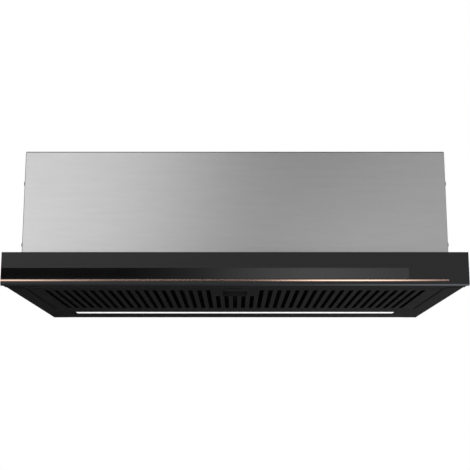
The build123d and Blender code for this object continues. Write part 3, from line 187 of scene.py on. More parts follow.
# Bearing steel, ground and polished: dark clear reflections, with a film of grease in patches.
GREASE_MM = 2.5
bearing_steel, tree, shader, place = start_finish("bearing_steel_polished", Metallic=1.0)
grease = add(tree, "TexNoise", {"Vector": place, "Scale": per_metre(GREASE_MM), "Detail": 2.0})
film = add(tree, "MapRange", {"Value": grease.outputs["Fac"], "To Min": 0.06, "To Max": 0.24})
shader["Base Color"].default_value = linear("#b4b5b7")
tree.links.new(film.outputs["Result"], shader["Roughness"])
dress(bearing_steel, "runner_balls", "motor_shaft", "latch_keeper")


# Base plate: one sheet between the lower frame and the casing, with two intake openings. It is
# punched from galvanised steel and hemmed at the sides, where it seats on the cabinet.

# Hot dip galvanised sheet: ragged zinc crystals about 8 mm wide, each a slightly different grey and
# broken up by the finer crystals that grew in it.
SPANGLE_MM = 8
SPECKLE_MM = 2.2
FRAY_MM = 3
FRAY_REACH = 0.004
galvanised, tree, shader, place = start_finish("galvanised_sheet_spangled", Metallic=1.0)
fray = add(tree, "TexNoise", {"Vector": place, "Scale": per_metre(FRAY_MM), "Detail": 2.0})
frayed = add(tree, "VectorMath", {0: fray.outputs["Color"], 1: [FRAY_REACH] * 3, 2: place},
             operation="MULTIPLY_ADD")
spangle = add(tree, "TexVoronoi", {"Vector": frayed.outputs["Vector"], "Scale": per_metre(SPANGLE_MM)})
speckle = add(tree, "TexVoronoi", {"Vector": frayed.outputs["Vector"], "Scale": per_metre(SPECKLE_MM)})
crystals = add(tree, "VectorMath", {0: spangle.outputs["Color"], 1: speckle.outputs["Color"]},
               operation="ADD")
tint = add(tree, "SeparateXYZ", {"Vector": crystals.outputs["Vector"]})
crystal = add(tree, "Math", {0: tint.outputs["X"], 1: 0.5}, operation="MULTIPLY")
shade = add(tree, "ValToRGB", {"Fac": crystal.outputs["Value"]}, ((0.2, "#a3a7aa"), (0.8, "#b4b7b9")))
dullness = add(tree, "MapRange", {"Value": crystal.outputs["Value"], "To Min": 0.36, "To Max": 0.48})
tree.links.new(shade.outputs["Color"], shader["Base Color"])
tree.links.new(dullness.outputs["Result"], shader["Roughness"])
dress(galvanised, "base_plate", "casing_side_left", "casing_side_right", "casing_back", "casing_top",
      "motor_bracket")


# Fixed inner filters: over each intake a folded aluminium frame that holds a sheet of expanded
# mesh. The mesh is slit and drawn from one sheet, so its diamonds have no joints.

# Rolled aluminium: pale soft grey, uneven along its rolling lines, which lie across the hood and are
# drawn 1 mm wide so that they show.
SHEET_LINE_MM = (80.0, 1.0, 1.0)
aluminium, tree, shader, place = start_finish("aluminium_sheet_rolled", Metallic=1.0)
stretched = add(tree, "Mapping", {"Vector": place, "Scale": [per_metre(size) for size in SHEET_LINE_MM]})
lines = add(tree, "TexNoise", {"Vector": stretched.outputs["Vector"], "Scale": 1.0, "Detail": 4.0})
shade = add(tree, "ValToRGB", {"Fac": lines.outputs["Fac"]}, ((0.3, "#bcbec0"), (0.7, "#cfd1d2")))
dullness = add(tree, "MapRange", {"Value": lines.outputs["Fac"], "To Min": 0.32, "To Max": 0.46})
tree.links.new(shade.outputs["Color"], shader["Base Color"])
tree.links.new(dullness.outputs["Result"], shader["Roughness"])
dress(aluminium, "inner_filter_frames", "inlet_ring")


def expanded_mesh(low, high, diamond, strand):
    """Bmesh of a flat diamond mesh between two corners, halfway up, before its strands are thick."""
    size = high - low
    mesh = bmesh.new()
    counts = [max(2, round(size[axis] / diamond[axis])) for axis in (0, 1)]
    bmesh.ops.create_grid(mesh, x_segments=counts[0], y_segments=counts[1], size=0.5)
    bmesh.ops.scale(mesh, vec=(size.x - strand, size.y - strand, 1), verts=mesh.verts)
    bmesh.ops.translate(mesh, vec=(low + high) / 2, verts=mesh.verts)
    square_edges = [edge for edge in mesh.edges if not edge.is_boundary]
    bmesh.ops.poke(mesh, faces=mesh.faces[:])
    bmesh.ops.dissolve_edges(mesh, edges=square_edges)
    return mesh


def make_strands(mesh, strand):
    """Turns every edge of a bmesh into a strand of that thickness."""
    bmesh.ops.wireframe(mesh, faces=mesh.faces[:], thickness=strand, use_replace=True, use_boundary=True,
                        use_even_offset=True)


def make_piece(name, mesh, material):
    """Object from a finished bmesh, with its place in its mesh."""
    bmesh.ops.recalc_face_normals(mesh, faces=mesh.faces)
    data = bpy.data.meshes.new(name)
    mesh.to_mesh(data)
    mesh.free()
    data.materials.append(material)
    piece = bpy.data.objects.new(name, data)
    bpy.context.scene.collection.objects.link(piece)
    return piece


MERGE_DISTANCE = 1e-6


def merged_copy(name):
    """Bmesh copy of a CAD node, with its loose triangles joined."""
    mesh = bmesh.new()
    mesh.from_mesh(nodes[name].data)
    bmesh.ops.remove_doubles(mesh, verts=mesh.verts, dist=MERGE_DISTANCE)
    return mesh


def loose_boxes(name):
    """Lowest and highest corner of each separate solid in a CAD node, from left to right."""
    mesh = merged_copy(name)
    left = set(mesh.verts)
    boxes = []
    while left:
        front = [left.pop()]
        found = []
        while front:
            vertex = front.pop()
            found.append(vertex.co.copy())
            for edge in vertex.link_edges:
                other = edge.other_vert(vertex)
                if other in left:
                    left.remove(other)
                    front.append(other)
        boxes.append([Vector(ends) for ends in (map(min, *found), map(max, *found))])
    mesh.free()
    return sorted(boxes, key=lambda box: tuple(box[0]))


INNER_DIAMOND = Vector((0.009, 0.006))
INNER_STRAND = 0.0009
for side, (low, high) in zip(("left", "right"), loose_boxes("inner_filter_mesh")):
    mesh = expanded_mesh(low, high, INNER_DIAMOND, INNER_STRAND)
    make_strands(mesh, INNER_STRAND)
    inner_mesh = make_piece("inner_filter_mesh_" + side, mesh, aluminium)
    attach(inner_mesh, "housing")
    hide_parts("inner_filter_mesh")


# Blower: a double inlet fan in two volute shells that stand on the base plate, with the motor in a
# bracket at its left side. The shells and the wheel are moulded, the motor's can is painted iron.

# Grey polypropylene, injection moulded: waxy mid grey with the fine grain of an eroded mould,
# which is drawn 0.8 mm wide so that it shows.
GRAIN_MM = 0.8
grey_plastic, tree, shader, place = start_finish("polypropylene_grey_moulded", Roughness=0.48)
flow = add(tree, "TexNoise", {"Vector": place, "Scale": per_metre(FLOW_MM), "Detail": 2.0})
shade = add(tree, "ValToRGB", {"Fac": flow.outputs["Fac"]}, ((0.3, "#54575a"), (0.7, "#5c5f62")))
grain = add(tree, "TexNoise", {"Vector": place, "Scale": per_metre(GRAIN_MM), "Detail": 1.0})
relief = add(tree, "Bump", {"Height": grain.outputs["Fac"], "Strength": 0.15, "Distance": 0.0001})
tree.links.new(shade.outputs["Color"], shader["Base Color"])
tree.links.new(relief.outputs["Normal"], shader["Normal"])
dress(grey_plastic, "blower_shell_left", "blower_shell_right", "impeller", "control_box",
      "control_box_lid", "outlet_collar", "flap_front", "flap_rear", "cable_gland", "reed_switch")

# Baked enamel on the motor's iron can: thick grey, slightly uneven where it ran before baking.
RUN_MM = 6
motor_enamel, tree, shader, place = start_finish("baked_enamel_on_iron", Roughness=0.4)
runs = add(tree, "TexNoise", {"Vector": place, "Scale": per_metre(RUN_MM), "Detail": 2.0})
shade = add(tree, "ValToRGB", {"Fac": runs.outputs["Fac"]}, ((0.3, "#3c3f42"), (0.7, "#474a4d")))
relief = add(tree, "Bump", {"Height": runs.outputs["Fac"], "Strength": 0.2, "Distance": 0.0004})
tree.links.new(shade.outputs["Color"], shader["Base Color"])
tree.links.new(relief.outputs["Normal"], shader["Normal"])
dress(motor_enamel, "motor_body")

# Cable sheath, extruded PVC: soft grey-black with a faint waviness from the extruder.
SHEATH_MM = 9
sheath, tree, shader, place = start_finish("cable_sheath_pvc_extruded", Roughness=0.5)
waviness = add(tree, "TexNoise", {"Vector": place, "Scale": per_metre(SHEATH_MM)})
shade = add(tree, "ValToRGB", {"Fac": waviness.outputs["Fac"]}, ((0.3, "#26272a"), (0.7, "#2e2f32")))
tree.links.new(shade.outputs["Color"], shader["Base Color"])
dress(sheath, "wiring")


# Casing: the box that disappears into the cabinet. Its front is a folded pan of brushed stainless
# steel, which is screwed to galvanised sides, and the lid and the back close it.

# Stainless steel brushed from side to side: the scratches lie across the hood, so a reflection
# stays narrow along them and is drawn out up and down. They are about 20 mm long, and are drawn 1 mm
# tall to show. Painted shade darkens the folds at its edges, by the way they face, and a band at the
# top down to 2 mm below the edge. The returns behind the folds get a lighter painted shade.
SCRATCH_MM = (22.0, 1.0, 1.0)
TONE_MM = (70.0, 6.0, 6.0)
FOLD_PAINTED_SHADE = "#8f8f8f"
RETURN_PAINTED_SHADE = "#c4c4c4"
TOP_PAINTED_SHADE_BAND = (0.0020, 0.0017)
TOP_PAINTED_SHADE_LEVEL = 0.4
stainless, tree, shader, place = start_finish("stainless_steel_brushed", Metallic=1.0, Anisotropic=0.75,
                                              Anisotropic_Rotation=0.25)
stretched = add(tree, "Mapping", {"Vector": place, "Scale": [per_metre(size) for size in SCRATCH_MM]})
scratches = add(tree, "TexNoise", {"Vector": stretched.outputs["Vector"], "Scale": 1.0, "Detail": 5.0})
widened = add(tree, "Mapping", {"Vector": place, "Scale": [per_metre(size) for size in TONE_MM]})
tones = add(tree, "TexNoise", {"Vector": widened.outputs["Vector"], "Scale": 1.0, "Detail": 3.0})
both = add(tree, "Math", {0: scratches.outputs["Fac"], 1: tones.outputs["Fac"]}, operation="ADD")
halved = add(tree, "Math", {0: both.outputs["Value"], 1: 0.5}, operation="MULTIPLY")
shade = add(tree, "ValToRGB", {"Fac": halved.outputs["Value"]}, ((0.3, "#c5c5c5"), (0.7, "#cdcdcd")))
dullness = add(tree, "MapRange", {"Value": scratches.outputs["Fac"], "To Min": 0.3, "To Max": 0.38})
relief = add(tree, "Bump", {"Height": scratches.outputs["Fac"], "Strength": 0.04, "Distance": 0.0002})
along = add(tree, "Tangent", direction_type="RADIAL", axis="Z")
turned = add(tree, "SeparateXYZ", {"Vector": add(tree, "TexCoord").outputs["Normal"]})
front = add(tree, "Math", {0: turned.outputs["Y"]}, operation="ABSOLUTE")
# Painted shade by the way the surface faces: darkest on the folds, lighter on the returns.
fold_painted_shade = add(tree, "ValToRGB", {"Fac": front.outputs["Value"]},
           ((0.1, RETURN_PAINTED_SHADE), (0.3, FOLD_PAINTED_SHADE), (0.93, FOLD_PAINTED_SHADE), (0.99, "#ffffff")))
casing_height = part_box("casing_front")[1].z
height = add(tree, "SeparateXYZ", {"Vector": place})
# Painted shade band along the top edge.
top_painted_shade = add(tree, "MapRange", {"Value": height.outputs["Z"], "To Min": 1.0, "To Max": TOP_PAINTED_SHADE_LEVEL,
                              "From Min": casing_height - TOP_PAINTED_SHADE_BAND[0],
                              "From Max": casing_height - TOP_PAINTED_SHADE_BAND[1]})
edges = add(tree, "VectorMath", {0: fold_painted_shade.outputs["Color"], 1: top_painted_shade.outputs["Result"]},
            operation="MINIMUM")
painted_shade_steel = add(tree, "VectorMath", {0: shade.outputs["Color"], 1: edges.outputs["Vector"]},
            operation="MULTIPLY")
tree.links.new(painted_shade_steel.outputs["Vector"], shader["Base Color"])
tree.links.new(dullness.outputs["Result"], shader["Roughness"])
tree.links.new(relief.outputs["Normal"], shader["Normal"])
tree.links.new(along.outputs["Tangent"], shader["Tangent"])
dress(stainless, "casing_front")


# Casing and panel screws: pan head sheet metal screws with a cross recess, zinc plated steel.
# Four hold the casing's sides, four the outlet collar, and six the panel on the drawer.

CROSS_WIDTH = 0.0011
CROSS_REACH = 0.0019
CROSS_DEPTH = 0.0009
CROSS_TAPER = 0.75
HEAD_SEGMENTS = 28
HEAD_FLAT = 0.7
HEAD_HEIGHT = 0.0018
SHANK_RADIUS = 0.0019
SHARP_DEGREES = 35
# Rings of the head below its flat top: share of its radius, and of its height from the top.
HEAD_RINGS = ((0.88, 0.12), (0.97, 0.32), (1.0, 0.55), (1.0, 1.0))

# Zinc plate on a turned screw: dull bluish silver, clouded in small patches by the plating.
PATCH_MM = 1.5
zinc_screw, tree, shader, place = start_finish("zinc_plated_screw", Metallic=1.0, Roughness=0.34)
patches = add(tree, "TexNoise", {"Vector": place, "Scale": per_metre(PATCH_MM), "Detail": 2.0})
shade = add(tree, "ValToRGB", {"Fac": patches.outputs["Fac"]}, ((0.3, "#6f7377"), (0.7, "#85898d")))
tree.links.new(shade.outputs["Color"], shader["Base Color"])


def draw_down(mesh, edges, scale, drop):
    """Extrudes a loop of edges, scales it about the Z axis and lowers it. Gives the new loop."""
    grown = bmesh.ops.extrude_edge_only(mesh, edges=edges)["geom"]
    fresh = [item for item in grown if isinstance(item, bmesh.types.BMVert)]
    bmesh.ops.scale(mesh, vec=(scale, scale, 1), verts=fresh)
    bmesh.ops.translate(mesh, vec=(0, 0, -drop), verts=fresh)
    known = set(fresh)
    return [item for item in grown
            if isinstance(item, bmesh.types.BMEdge) and known.issuperset(item.verts)]


def set_on_seat(mesh, before, height, seat, outward):
    """Raises the vertices that weren't there before, turns them outward and sets them on their seat."""
    made = [vertex for vertex in mesh.verts if vertex not in before]
    bmesh.ops.translate(mesh, vec=(0, 0, height), verts=made)
    turn = outward.to_track_quat("Z", "Y").to_matrix().to_4x4()
    bmesh.ops.transform(mesh, matrix=Matrix.Translation(seat) @ turn, verts=made)


def smooth(piece):
    """Shades a piece smooth, with its sharp edges kept."""
    piece.data.shade_smooth()
    piece.data.set_sharp_from_angle(angle=math.radians(SHARP_DEGREES))


def cross_screw(mesh, seat, outward, radius, shank):
    """Adds a pan head screw that sits on its seat, with its head outward and its shank the other way."""
    before = set(mesh.verts)
    half = CROSS_WIDTH / 2
    corners = []
    for quarter in range(4):
        turn = Matrix.Rotation(quarter * math.pi / 2, 3, "Z")
        for corner in ((CROSS_REACH, -half, 0), (CROSS_REACH, half, 0), (half, half, 0)):
            corners.append(mesh.verts.new(turn @ Vector(corner)))
    recess = [mesh.edges.new(pair) for pair in zip(corners, corners[1:] + corners[:1])]
    flat = bmesh.ops.create_circle(mesh, segments=HEAD_SEGMENTS, radius=radius * HEAD_FLAT)["verts"]
    rim = list(dict.fromkeys(edge for vertex in flat for edge in vertex.link_edges))
    bmesh.ops.triangle_fill(mesh, use_beauty=True, edges=recess + rim)
    floor = draw_down(mesh, recess, CROSS_TAPER, CROSS_DEPTH)
    bmesh.ops.edgeloop_fill(mesh, edges=floor)
    width, level = HEAD_FLAT, 0.0
    for ring, depth in HEAD_RINGS:
        rim = draw_down(mesh, rim, ring / width, (depth - level) * HEAD_HEIGHT)
        width, level = ring, depth
    rim = draw_down(mesh, rim, SHANK_RADIUS / radius, 0)
    rim = draw_down(mesh, rim, 1, shank)
    bmesh.ops.edgeloop_fill(mesh, edges=rim)
    set_on_seat(mesh, before, HEAD_HEIGHT, seat, outward)


def replace_screws(name, body, middle):
    """Puts a cross recessed screw in place of each plain one, with its head away from a middle point."""
    mesh = bmesh.new()
    for low, high in loose_boxes(name):
        size = high - low
        centre = (low + high) / 2
        spread = [abs(size[axis] - size[axis - 1]) for axis in range(3)]
        axis = (spread.index(min(spread)) + 1) % 3
        outward = Vector((0, 0, 0))
        outward[axis] = math.copysign(1, centre[axis] - middle[axis])
        radius = size[axis - 1] / 2
        seat = centre + outward * (size[axis] / 2 - HEAD_HEIGHT)
        cross_screw(mesh, seat, outward, radius, size[axis] - HEAD_HEIGHT)
    screws = make_piece(name + "_crossed", mesh, zinc_screw)
    smooth(screws)
    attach(screws, body)
    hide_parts(name)


replace_screws("casing_screws", "housing", (cad_box[0] + cad_box[1]) / 2)
replace_screws("panel_screws", "drawer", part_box("panel_facing")[0])


# Lid rivets: blind rivets that join each side of the casing to the folded edge of its lid. They are
# aluminium, pulled from outside, so each dome has the end of its broken mandrel in the middle.

RIVETS_PER_SIDE = 4
RIVET_SEGMENTS = 20
MANDREL_RADIUS = 0.0008
MANDREL_LEVEL = 0.0008
# Rings of the dome: radius, and height above the seat.
RIVET_RINGS = ((0.0010, 0.0012), (0.0017, 0.0011), (0.0025, 0.0007), (0.0031, 0.0002), (0.0031, 0.0))


def blind_rivet(mesh, seat, outward):
    """Adds a domed rivet that sits on its seat, with its mandrel's end sunk in the dome."""
    before = set(mesh.verts)
    disc = bmesh.ops.create_circle(mesh, cap_ends=True, segments=RIVET_SEGMENTS, radius=MANDREL_RADIUS)
    rim = list(dict.fromkeys(edge for vertex in disc["verts"] for edge in vertex.link_edges))
    width, level = MANDREL_RADIUS, MANDREL_LEVEL
    for radius, height in RIVET_RINGS:
        rim = draw_down(mesh, rim, radius / width, level - height)
        width, level = radius, height
    bmesh.ops.edgeloop_fill(mesh, edges=rim)
    set_on_seat(mesh, before, MANDREL_LEVEL, seat, outward)


side_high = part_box("casing_side_right")[1]
rivet_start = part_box("casing_front")[1].y
rivet_level = (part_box("casing_top")[0].z + side_high.z) / 2
mesh = bmesh.new()
for number in range(RIVETS_PER_SIDE):
    depth = rivet_start + (side_high.y - rivet_start) * (number + 0.5) / RIVETS_PER_SIDE
    for side in (-1, 1):
        blind_rivet(mesh, Vector((side * side_high.x, depth, rivet_level)), Vector((side, 0, 0)))
rivets = make_piece("lid_rivets", mesh, aluminium)
smooth(rivets)
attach(rivets, "housing")


# Drawer: a tray that carries the filter, with its cover, filter stops and magnet. It is folded from
# steel sheet, powder coated black, and screwed to the back of the front panel.

dress(powder_coat, "drawer_tray", "drawer_cover", "filter_stops")

# Nickel plate on the magnet: bright warm silver, slightly rippled by the plating bath.
RIPPLE_MM = 1.5
nickel, tree, shader, place = start_finish("nickel_plated_magnet", Metallic=1.0, Roughness=0.18)
ripple = add(tree, "TexNoise", {"Vector": place, "Scale": per_metre(RIPPLE_MM)})
relief = add(tree, "Bump", {"Height": ripple.outputs["Fac"], "Strength": 0.1, "Distance": 0.0002})
shader["Base Color"].default_value = linear("#c9c5bb")
tree.links.new(relief.outputs["Normal"], shader["Normal"])
dress(nickel, "drawer_magnet")


# Cover seal: a rubber lip along the rear edge of the drawer's cover. It leans up to close the gap
# under the casing when the drawer is out. It is extruded, and glued to the cover by its foot.

# EPDM rubber, extruded: dull soft black with lines along the strip, drawn 1 mm wide to show.
RUBBER_LINE_MM = (120.0, 1.0, 1.0)
rubber, tree, shader, place = start_finish("epdm_rubber_extruded", Roughness=0.75, Specular_IOR_Level=0.3)
stretched = add(tree, "Mapping", {"Vector": place, "Scale": [per_metre(size) for size in RUBBER_LINE_MM]})
lines = add(tree, "TexNoise", {"Vector": stretched.outputs["Vector"], "Scale": 1.0, "Detail": 3.0})
shade = add(tree, "ValToRGB", {"Fac": lines.outputs["Fac"]}, ((0.3, "#151515"), (0.7, "#1e1e1e")))
tree.links.new(shade.outputs["Color"], shader["Base Color"])

SEAL_FOOT = 0.005
SEAL_THICKNESS = 0.0012
SEAL_REACH = 0.021
SEAL_RISE = 0.0018
SEAL_TIP = 0.0006
SEAL_SHORT = 0.0005
SEAL_ROUND = 0.0002
cover_low, cover_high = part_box("drawer_cover")
outline = ((-SEAL_FOOT, 0), (0, 0), (SEAL_REACH, SEAL_RISE), (SEAL_REACH, SEAL_RISE + SEAL_TIP),
           (0, SEAL_THICKNESS), (-SEAL_FOOT, SEAL_THICKNESS))
mesh = bmesh.new()
start = [mesh.verts.new((cover_low.x + SEAL_SHORT, cover_high.y + back, cover_high.z + up))
         for back, up in outline]
grown = bmesh.ops.extrude_face_region(mesh, geom=[mesh.faces.new(start)])["geom"]
end = [item for item in grown if isinstance(item, bmesh.types.BMVert)]
seal_length = cover_high.x - cover_low.x - 2 * SEAL_SHORT
bmesh.ops.translate(mesh, vec=(seal_length, 0, 0), verts=end)
long_edges = [edge for edge in mesh.edges if edge.calc_length() > seal_length / 2]
bmesh.ops.bevel(mesh, geom=long_edges, affect="EDGES", offset=SEAL_ROUND, segments=2, profile=0.5,
                material=-1)
cover_seal = make_piece("cover_seal", mesh, rubber)
smooth(cover_seal)
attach(cover_seal, "drawer")


# Grease filter: a slotted steel face folded up at its rim, with a pleated sheet of expanded mesh
# under a windowed plate. It swings down on two pins, and a sprung finger latch holds its front.

# Both are black powder coat. The windowed plate's black also stands in for the shade behind the slots.
dress(powder_coat, "filter_face", "filter_back")

# Aluminium mesh painted near black to stand in for the shade in the slots: only a dull sparkle shows.
MESH_MOTTLE_MM = 4
shade_black_mesh, tree, shader, place = start_finish("aluminium_mesh_painted_shade_black", Roughness=0.7,
                                                Specular_IOR_Level=0.05)
mesh_mottle = add(tree, "TexNoise", {"Vector": place, "Scale": per_metre(MESH_MOTTLE_MM)})
shade = add(tree, "ValToRGB", {"Fac": mesh_mottle.outputs["Fac"]}, ((0.3, "#030303"), (0.7, "#060606")))
tree.links.new(shade.outputs["Color"], shader["Base Color"])

# The strands carry the painted shade of the slots.
PLEAT_DIAMOND = Vector((0.010, 0.0064))
PLEAT_STRAND = 0.0008
PLEAT_COUNT = 14
mesh_low, mesh_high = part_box("filter_mesh")
cup_low, cup_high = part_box("latch_cup")
mesh = expanded_mesh(mesh_low, mesh_high, PLEAT_DIAMOND, PLEAT_STRAND)
pleat_length = (mesh_high.y - mesh_low.y) / PLEAT_COUNT
pleat_rise = (mesh_high.z - mesh_low.z - PLEAT_STRAND) / 2
for vertex in mesh.verts:
    vertex.co.z += pleat_rise * math.cos(2 * math.pi * (vertex.co.y - mesh_low.y) / pleat_length)
over_latch = [face for face in mesh.faces
              if any(cup_low.x < vertex.co.x < cup_high.x and vertex.co.y < cup_high.y
                     for vertex in face.verts)]
bmesh.ops.delete(mesh, geom=over_latch, context="FACES")
make_strands(mesh, PLEAT_STRAND)
pleated_mesh = make_piece("filter_mesh_pleated", mesh, shade_black_mesh)
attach(pleated_mesh, "filter")
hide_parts("filter_mesh")

# Folded wire springs between the latch and its cup. The wire's corners are rounded, and the folds
# close up as the latch is pushed back.
WIRE_ROUND = 0.00018
FLAT_DEGREES = 1
CORNER_DEGREES = 50
mesh = merged_copy("latch_spring")
bmesh.ops.dissolve_limit(mesh, angle_limit=math.radians(FLAT_DEGREES), verts=mesh.verts, edges=mesh.edges)
sharp = [edge for edge in mesh.edges if edge.calc_face_angle(0) > math.radians(CORNER_DEGREES)]
bmesh.ops.bevel(mesh, geom=sharp, affect="EDGES", offset=WIRE_ROUND, segments=2, profile=0.5, material=-1)
wire_springs = make_piece("latch_spring_wire", mesh, bearing_steel)
smooth(wire_springs)
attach(wire_springs, "filter")
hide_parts("latch_spring")
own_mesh(wire_springs)

# Black ABS, injection moulded: dark satin with the fine grain of an eroded mould, drawn as wide as on
# the blower.
black_abs, tree, shader, place = start_finish("abs_black_moulded", Roughness=0.5, Specular_IOR_Level=0.4)
flow = add(tree, "TexNoise", {"Vector": place, "Scale": per_metre(FLOW_MM), "Detail": 2.0})
shade = add(tree, "ValToRGB", {"Fac": flow.outputs["Fac"]}, ((0.3, "#111112"), (0.7, "#171718")))
grain = add(tree, "TexNoise", {"Vector": place, "Scale": per_metre(GRAIN_MM), "Detail": 1.0})
relief = add(tree, "Bump", {"Height": grain.outputs["Fac"], "Strength": 0.2, "Distance": 0.0001})
tree.links.new(shade.outputs["Color"], shader["Base Color"])
tree.links.new(relief.outputs["Normal"], shader["Normal"])
dress(black_abs, "latch_cup", "filter_latch", "panel_end_cap_left", "panel_end_cap_right")


# Front panel: the drawer's handle and the hood's face. An aluminium facing is glued to an extruded
# channel with moulded end caps, and its lower edge is cut to a polished bevel.

# Anodised aluminium, bead blasted and dyed black: an even soft sheen with a very fine grain, which
# is drawn 0.6 mm wide to show. The bevel is cut through the grain and polished before dyeing. The
# polish fades out towards its upper edge.
BLAST_MM = 0.6
BEVEL_TILT = 0.35
POLISH_FADE = (0.0014, 0.0019)
anodised, tree, shader, place = start_finish("anodised_aluminium_black_blasted", Specular_IOR_Level=0.3)
blast = add(tree, "TexNoise", {"Vector": place, "Scale": per_metre(BLAST_MM), "Detail": 2.0})
facing_way = add(tree, "SeparateXYZ", {"Vector": add(tree, "TexCoord").outputs["Normal"]})
down = add(tree, "Math", {0: facing_way.outputs["Z"], 1: -BEVEL_TILT}, operation="LESS_THAN")
front = add(tree, "Math", {0: facing_way.outputs["Y"], 1: -BEVEL_TILT}, operation="LESS_THAN")
cut = add(tree, "Math", {0: down.outputs["Value"], 1: front.outputs["Value"]}, operation="MULTIPLY")
height = add(tree, "SeparateXYZ", {"Vector": place})
rubbed = add(tree, "MapRange", {"Value": height.outputs["Z"], "From Min": POLISH_FADE[0],
                                "From Max": POLISH_FADE[1], "To Min": 1.0, "To Max": 0.0})
bevel = add(tree, "Math", {0: cut.outputs["Value"], 1: rubbed.outputs["Result"]}, operation="MULTIPLY")
dullness = add(tree, "MapRange", {"Value": bevel.outputs["Value"], "To Min": 0.42, "To Max": 0.12})
shade = add(tree, "ValToRGB", {"Fac": bevel.outputs["Value"]}, ((0.0, "#1d1d1e"), (1.0, "#4b4e53")))
relief = add(tree, "Bump", {"Height": blast.outputs["Fac"], "Strength": 0.08, "Distance": 0.0001})
tree.links.new(shade.outputs["Color"], shader["Base Color"])
tree.links.new(dullness.outputs["Result"], shader["Roughness"])
tree.links.new(bevel.outputs["Value"], shader["Metallic"])
tree.links.new(relief.outputs["Normal"], shader["Normal"])
dress(anodised, "panel_facing")
dress(powder_coat, "panel_profile")

# Black acrylic sheet, cast: a deep gloss that mirrors the room, with the slow waviness of casting.
WAVE_MM = 120
acrylic, tree, shader, place = start_finish("acrylic_black_cast", IOR=1.49)
wave = add(tree, "TexNoise", {"Vector": place, "Scale": per_metre(WAVE_MM)})
gloss = add(tree, "MapRange", {"Value": wave.outputs["Fac"], "To Min": 0.02, "To Max": 0.05})
shader["Base Color"].default_value = linear("#060607")
tree.links.new(gloss.outputs["Result"], shader["Roughness"])
dress(acrylic, "control_strip")

# Copper strip, drawn and polished: bright warm pink with faint draw lines along its length, shown
# 0.7 mm wide. Painted shade darkens it along both edges, a little at the lower edge and deeply at
# the upper one.
DRAW_LINE_MM = (150.0, 0.7, 0.7)
LOWER_EDGE_PAINTED_SHADE = "#a2a2a2"
UPPER_EDGE_PAINTED_SHADE = "#303030"
trim_low, trim_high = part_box("copper_trim")
copper, tree, shader, place = start_finish("copper_drawn_polished", Metallic=1.0)
stretched = add(tree, "Mapping", {"Vector": place, "Scale": [per_metre(size) for size in DRAW_LINE_MM]})
lines = add(tree, "TexNoise", {"Vector": stretched.outputs["Vector"], "Scale": 1.0, "Detail": 3.0})
shade = add(tree, "ValToRGB", {"Fac": lines.outputs["Fac"]}, ((0.3, "#e9c5b2"), (0.7, "#f3cfbb")))
gloss = add(tree, "MapRange", {"Value": lines.outputs["Fac"], "To Min": 0.1, "To Max": 0.2})
height = add(tree, "SeparateXYZ", {"Vector": place})
raised = add(tree, "MapRange", {"Value": height.outputs["Z"], "From Min": trim_low.z,
                                "From Max": trim_high.z})
# Painted shade along the lower and upper edges of the strip.
edge_painted_shade = add(tree, "ValToRGB", {"Fac": raised.outputs["Result"]},
             ((0.1, LOWER_EDGE_PAINTED_SHADE), (0.35, "#ffffff"), (0.8, "#ffffff"), (0.83, UPPER_EDGE_PAINTED_SHADE)))
painted_shade_copper = add(tree, "VectorMath", {0: shade.outputs["Color"], 1: edge_painted_shade.outputs["Color"]},
           operation="MULTIPLY")
tree.links.new(painted_shade_copper.outputs["Vector"], shader["Base Color"])
tree.links.new(gloss.outputs["Result"], shader["Roughness"])
dress(copper, "copper_trim")


# Studio: a white surround, a pale floor far below, and one soft lamp from above. Four gradient cards
# one above the other behind the camera, one on the floor and a dark flag behind the hood shape the
# reflections.

SURROUND = 0.55
FLOOR_LEVEL = -1.45
FLOOR_RADIUS = 2.6
FLOOR_SEGMENTS = 96

scene = bpy.context.scene
scene.view_settings.view_transform = "Standard"
scene.world = bpy.data.worlds.new("white_surround")
scene.world.use_nodes = True
tree = scene.world.node_tree
rays = add(tree, "LightPath").outputs
shiny = add(tree, "Math", {0: rays["Is Glossy Ray"], 1: rays["Is Transmission Ray"]}, operation="MAXIMUM")
seen = add(tree, "Math", {0: rays["Is Camera Ray"], 1: shiny.outputs["Value"]}, operation="MAXIMUM")
level = add(tree, "MapRange", {"Value": seen.outputs["Value"], "To Min": SURROUND, "To Max": 1.0})
tree.nodes["Background"].inputs["Color"].default_value = linear("#ffffff")
tree.links.new(level.outputs["Result"], tree.nodes["Background"].inputs["Strength"])

# Matt paint on the floor: pale grey, laid on by roller in wide uneven strokes.
STROKE_MM = 400
floor_paint, tree, shader, place = start_finish("matt_floor_paint", Roughness=0.8, Specular_IOR_Level=0.2)
blotch = add(tree, "TexNoise", {"Vector": place, "Scale": per_metre(STROKE_MM)})
shade = add(tree, "ValToRGB", {"Fac": blotch.outputs["Fac"]}, ((0.3, "#ececeb"), (0.7, "#f0f0ef")))
tree.links.new(shade.outputs["Color"], shader["Base Color"])
mesh = bmesh.new()
bmesh.ops.create_circle(mesh, cap_ends=True, segments=FLOOR_SEGMENTS, radius=FLOOR_RADIUS)
bmesh.ops.translate(mesh, vec=(0, 0, FLOOR_LEVEL), verts=mesh.verts)
floor = make_piece("studio_floor", mesh, floor_paint)

CARD_HALF = 1.6
CARD_DEPTH = -2.155
CARD_HIGH = 2.4
GLOSS_HIGH = 0.432
GLOSS_LOW = 0.375
MIDDLE_LOW = -0.15
CARD_LOW = -1.35
CARD_STRENGTH = 2.0
LOWER_STRENGTH = 2.5
FLOOR_CARD_NEAR = -0.9
FLOOR_CARD_FAR = -0.1
FLOOR_CARD_LEVEL = -1.43
FLAG_DEPTH = 0.95
FLAG_LOW = -1.4
FLAG_HIGH = -0.03
FLAG_STRENGTH = 1.0


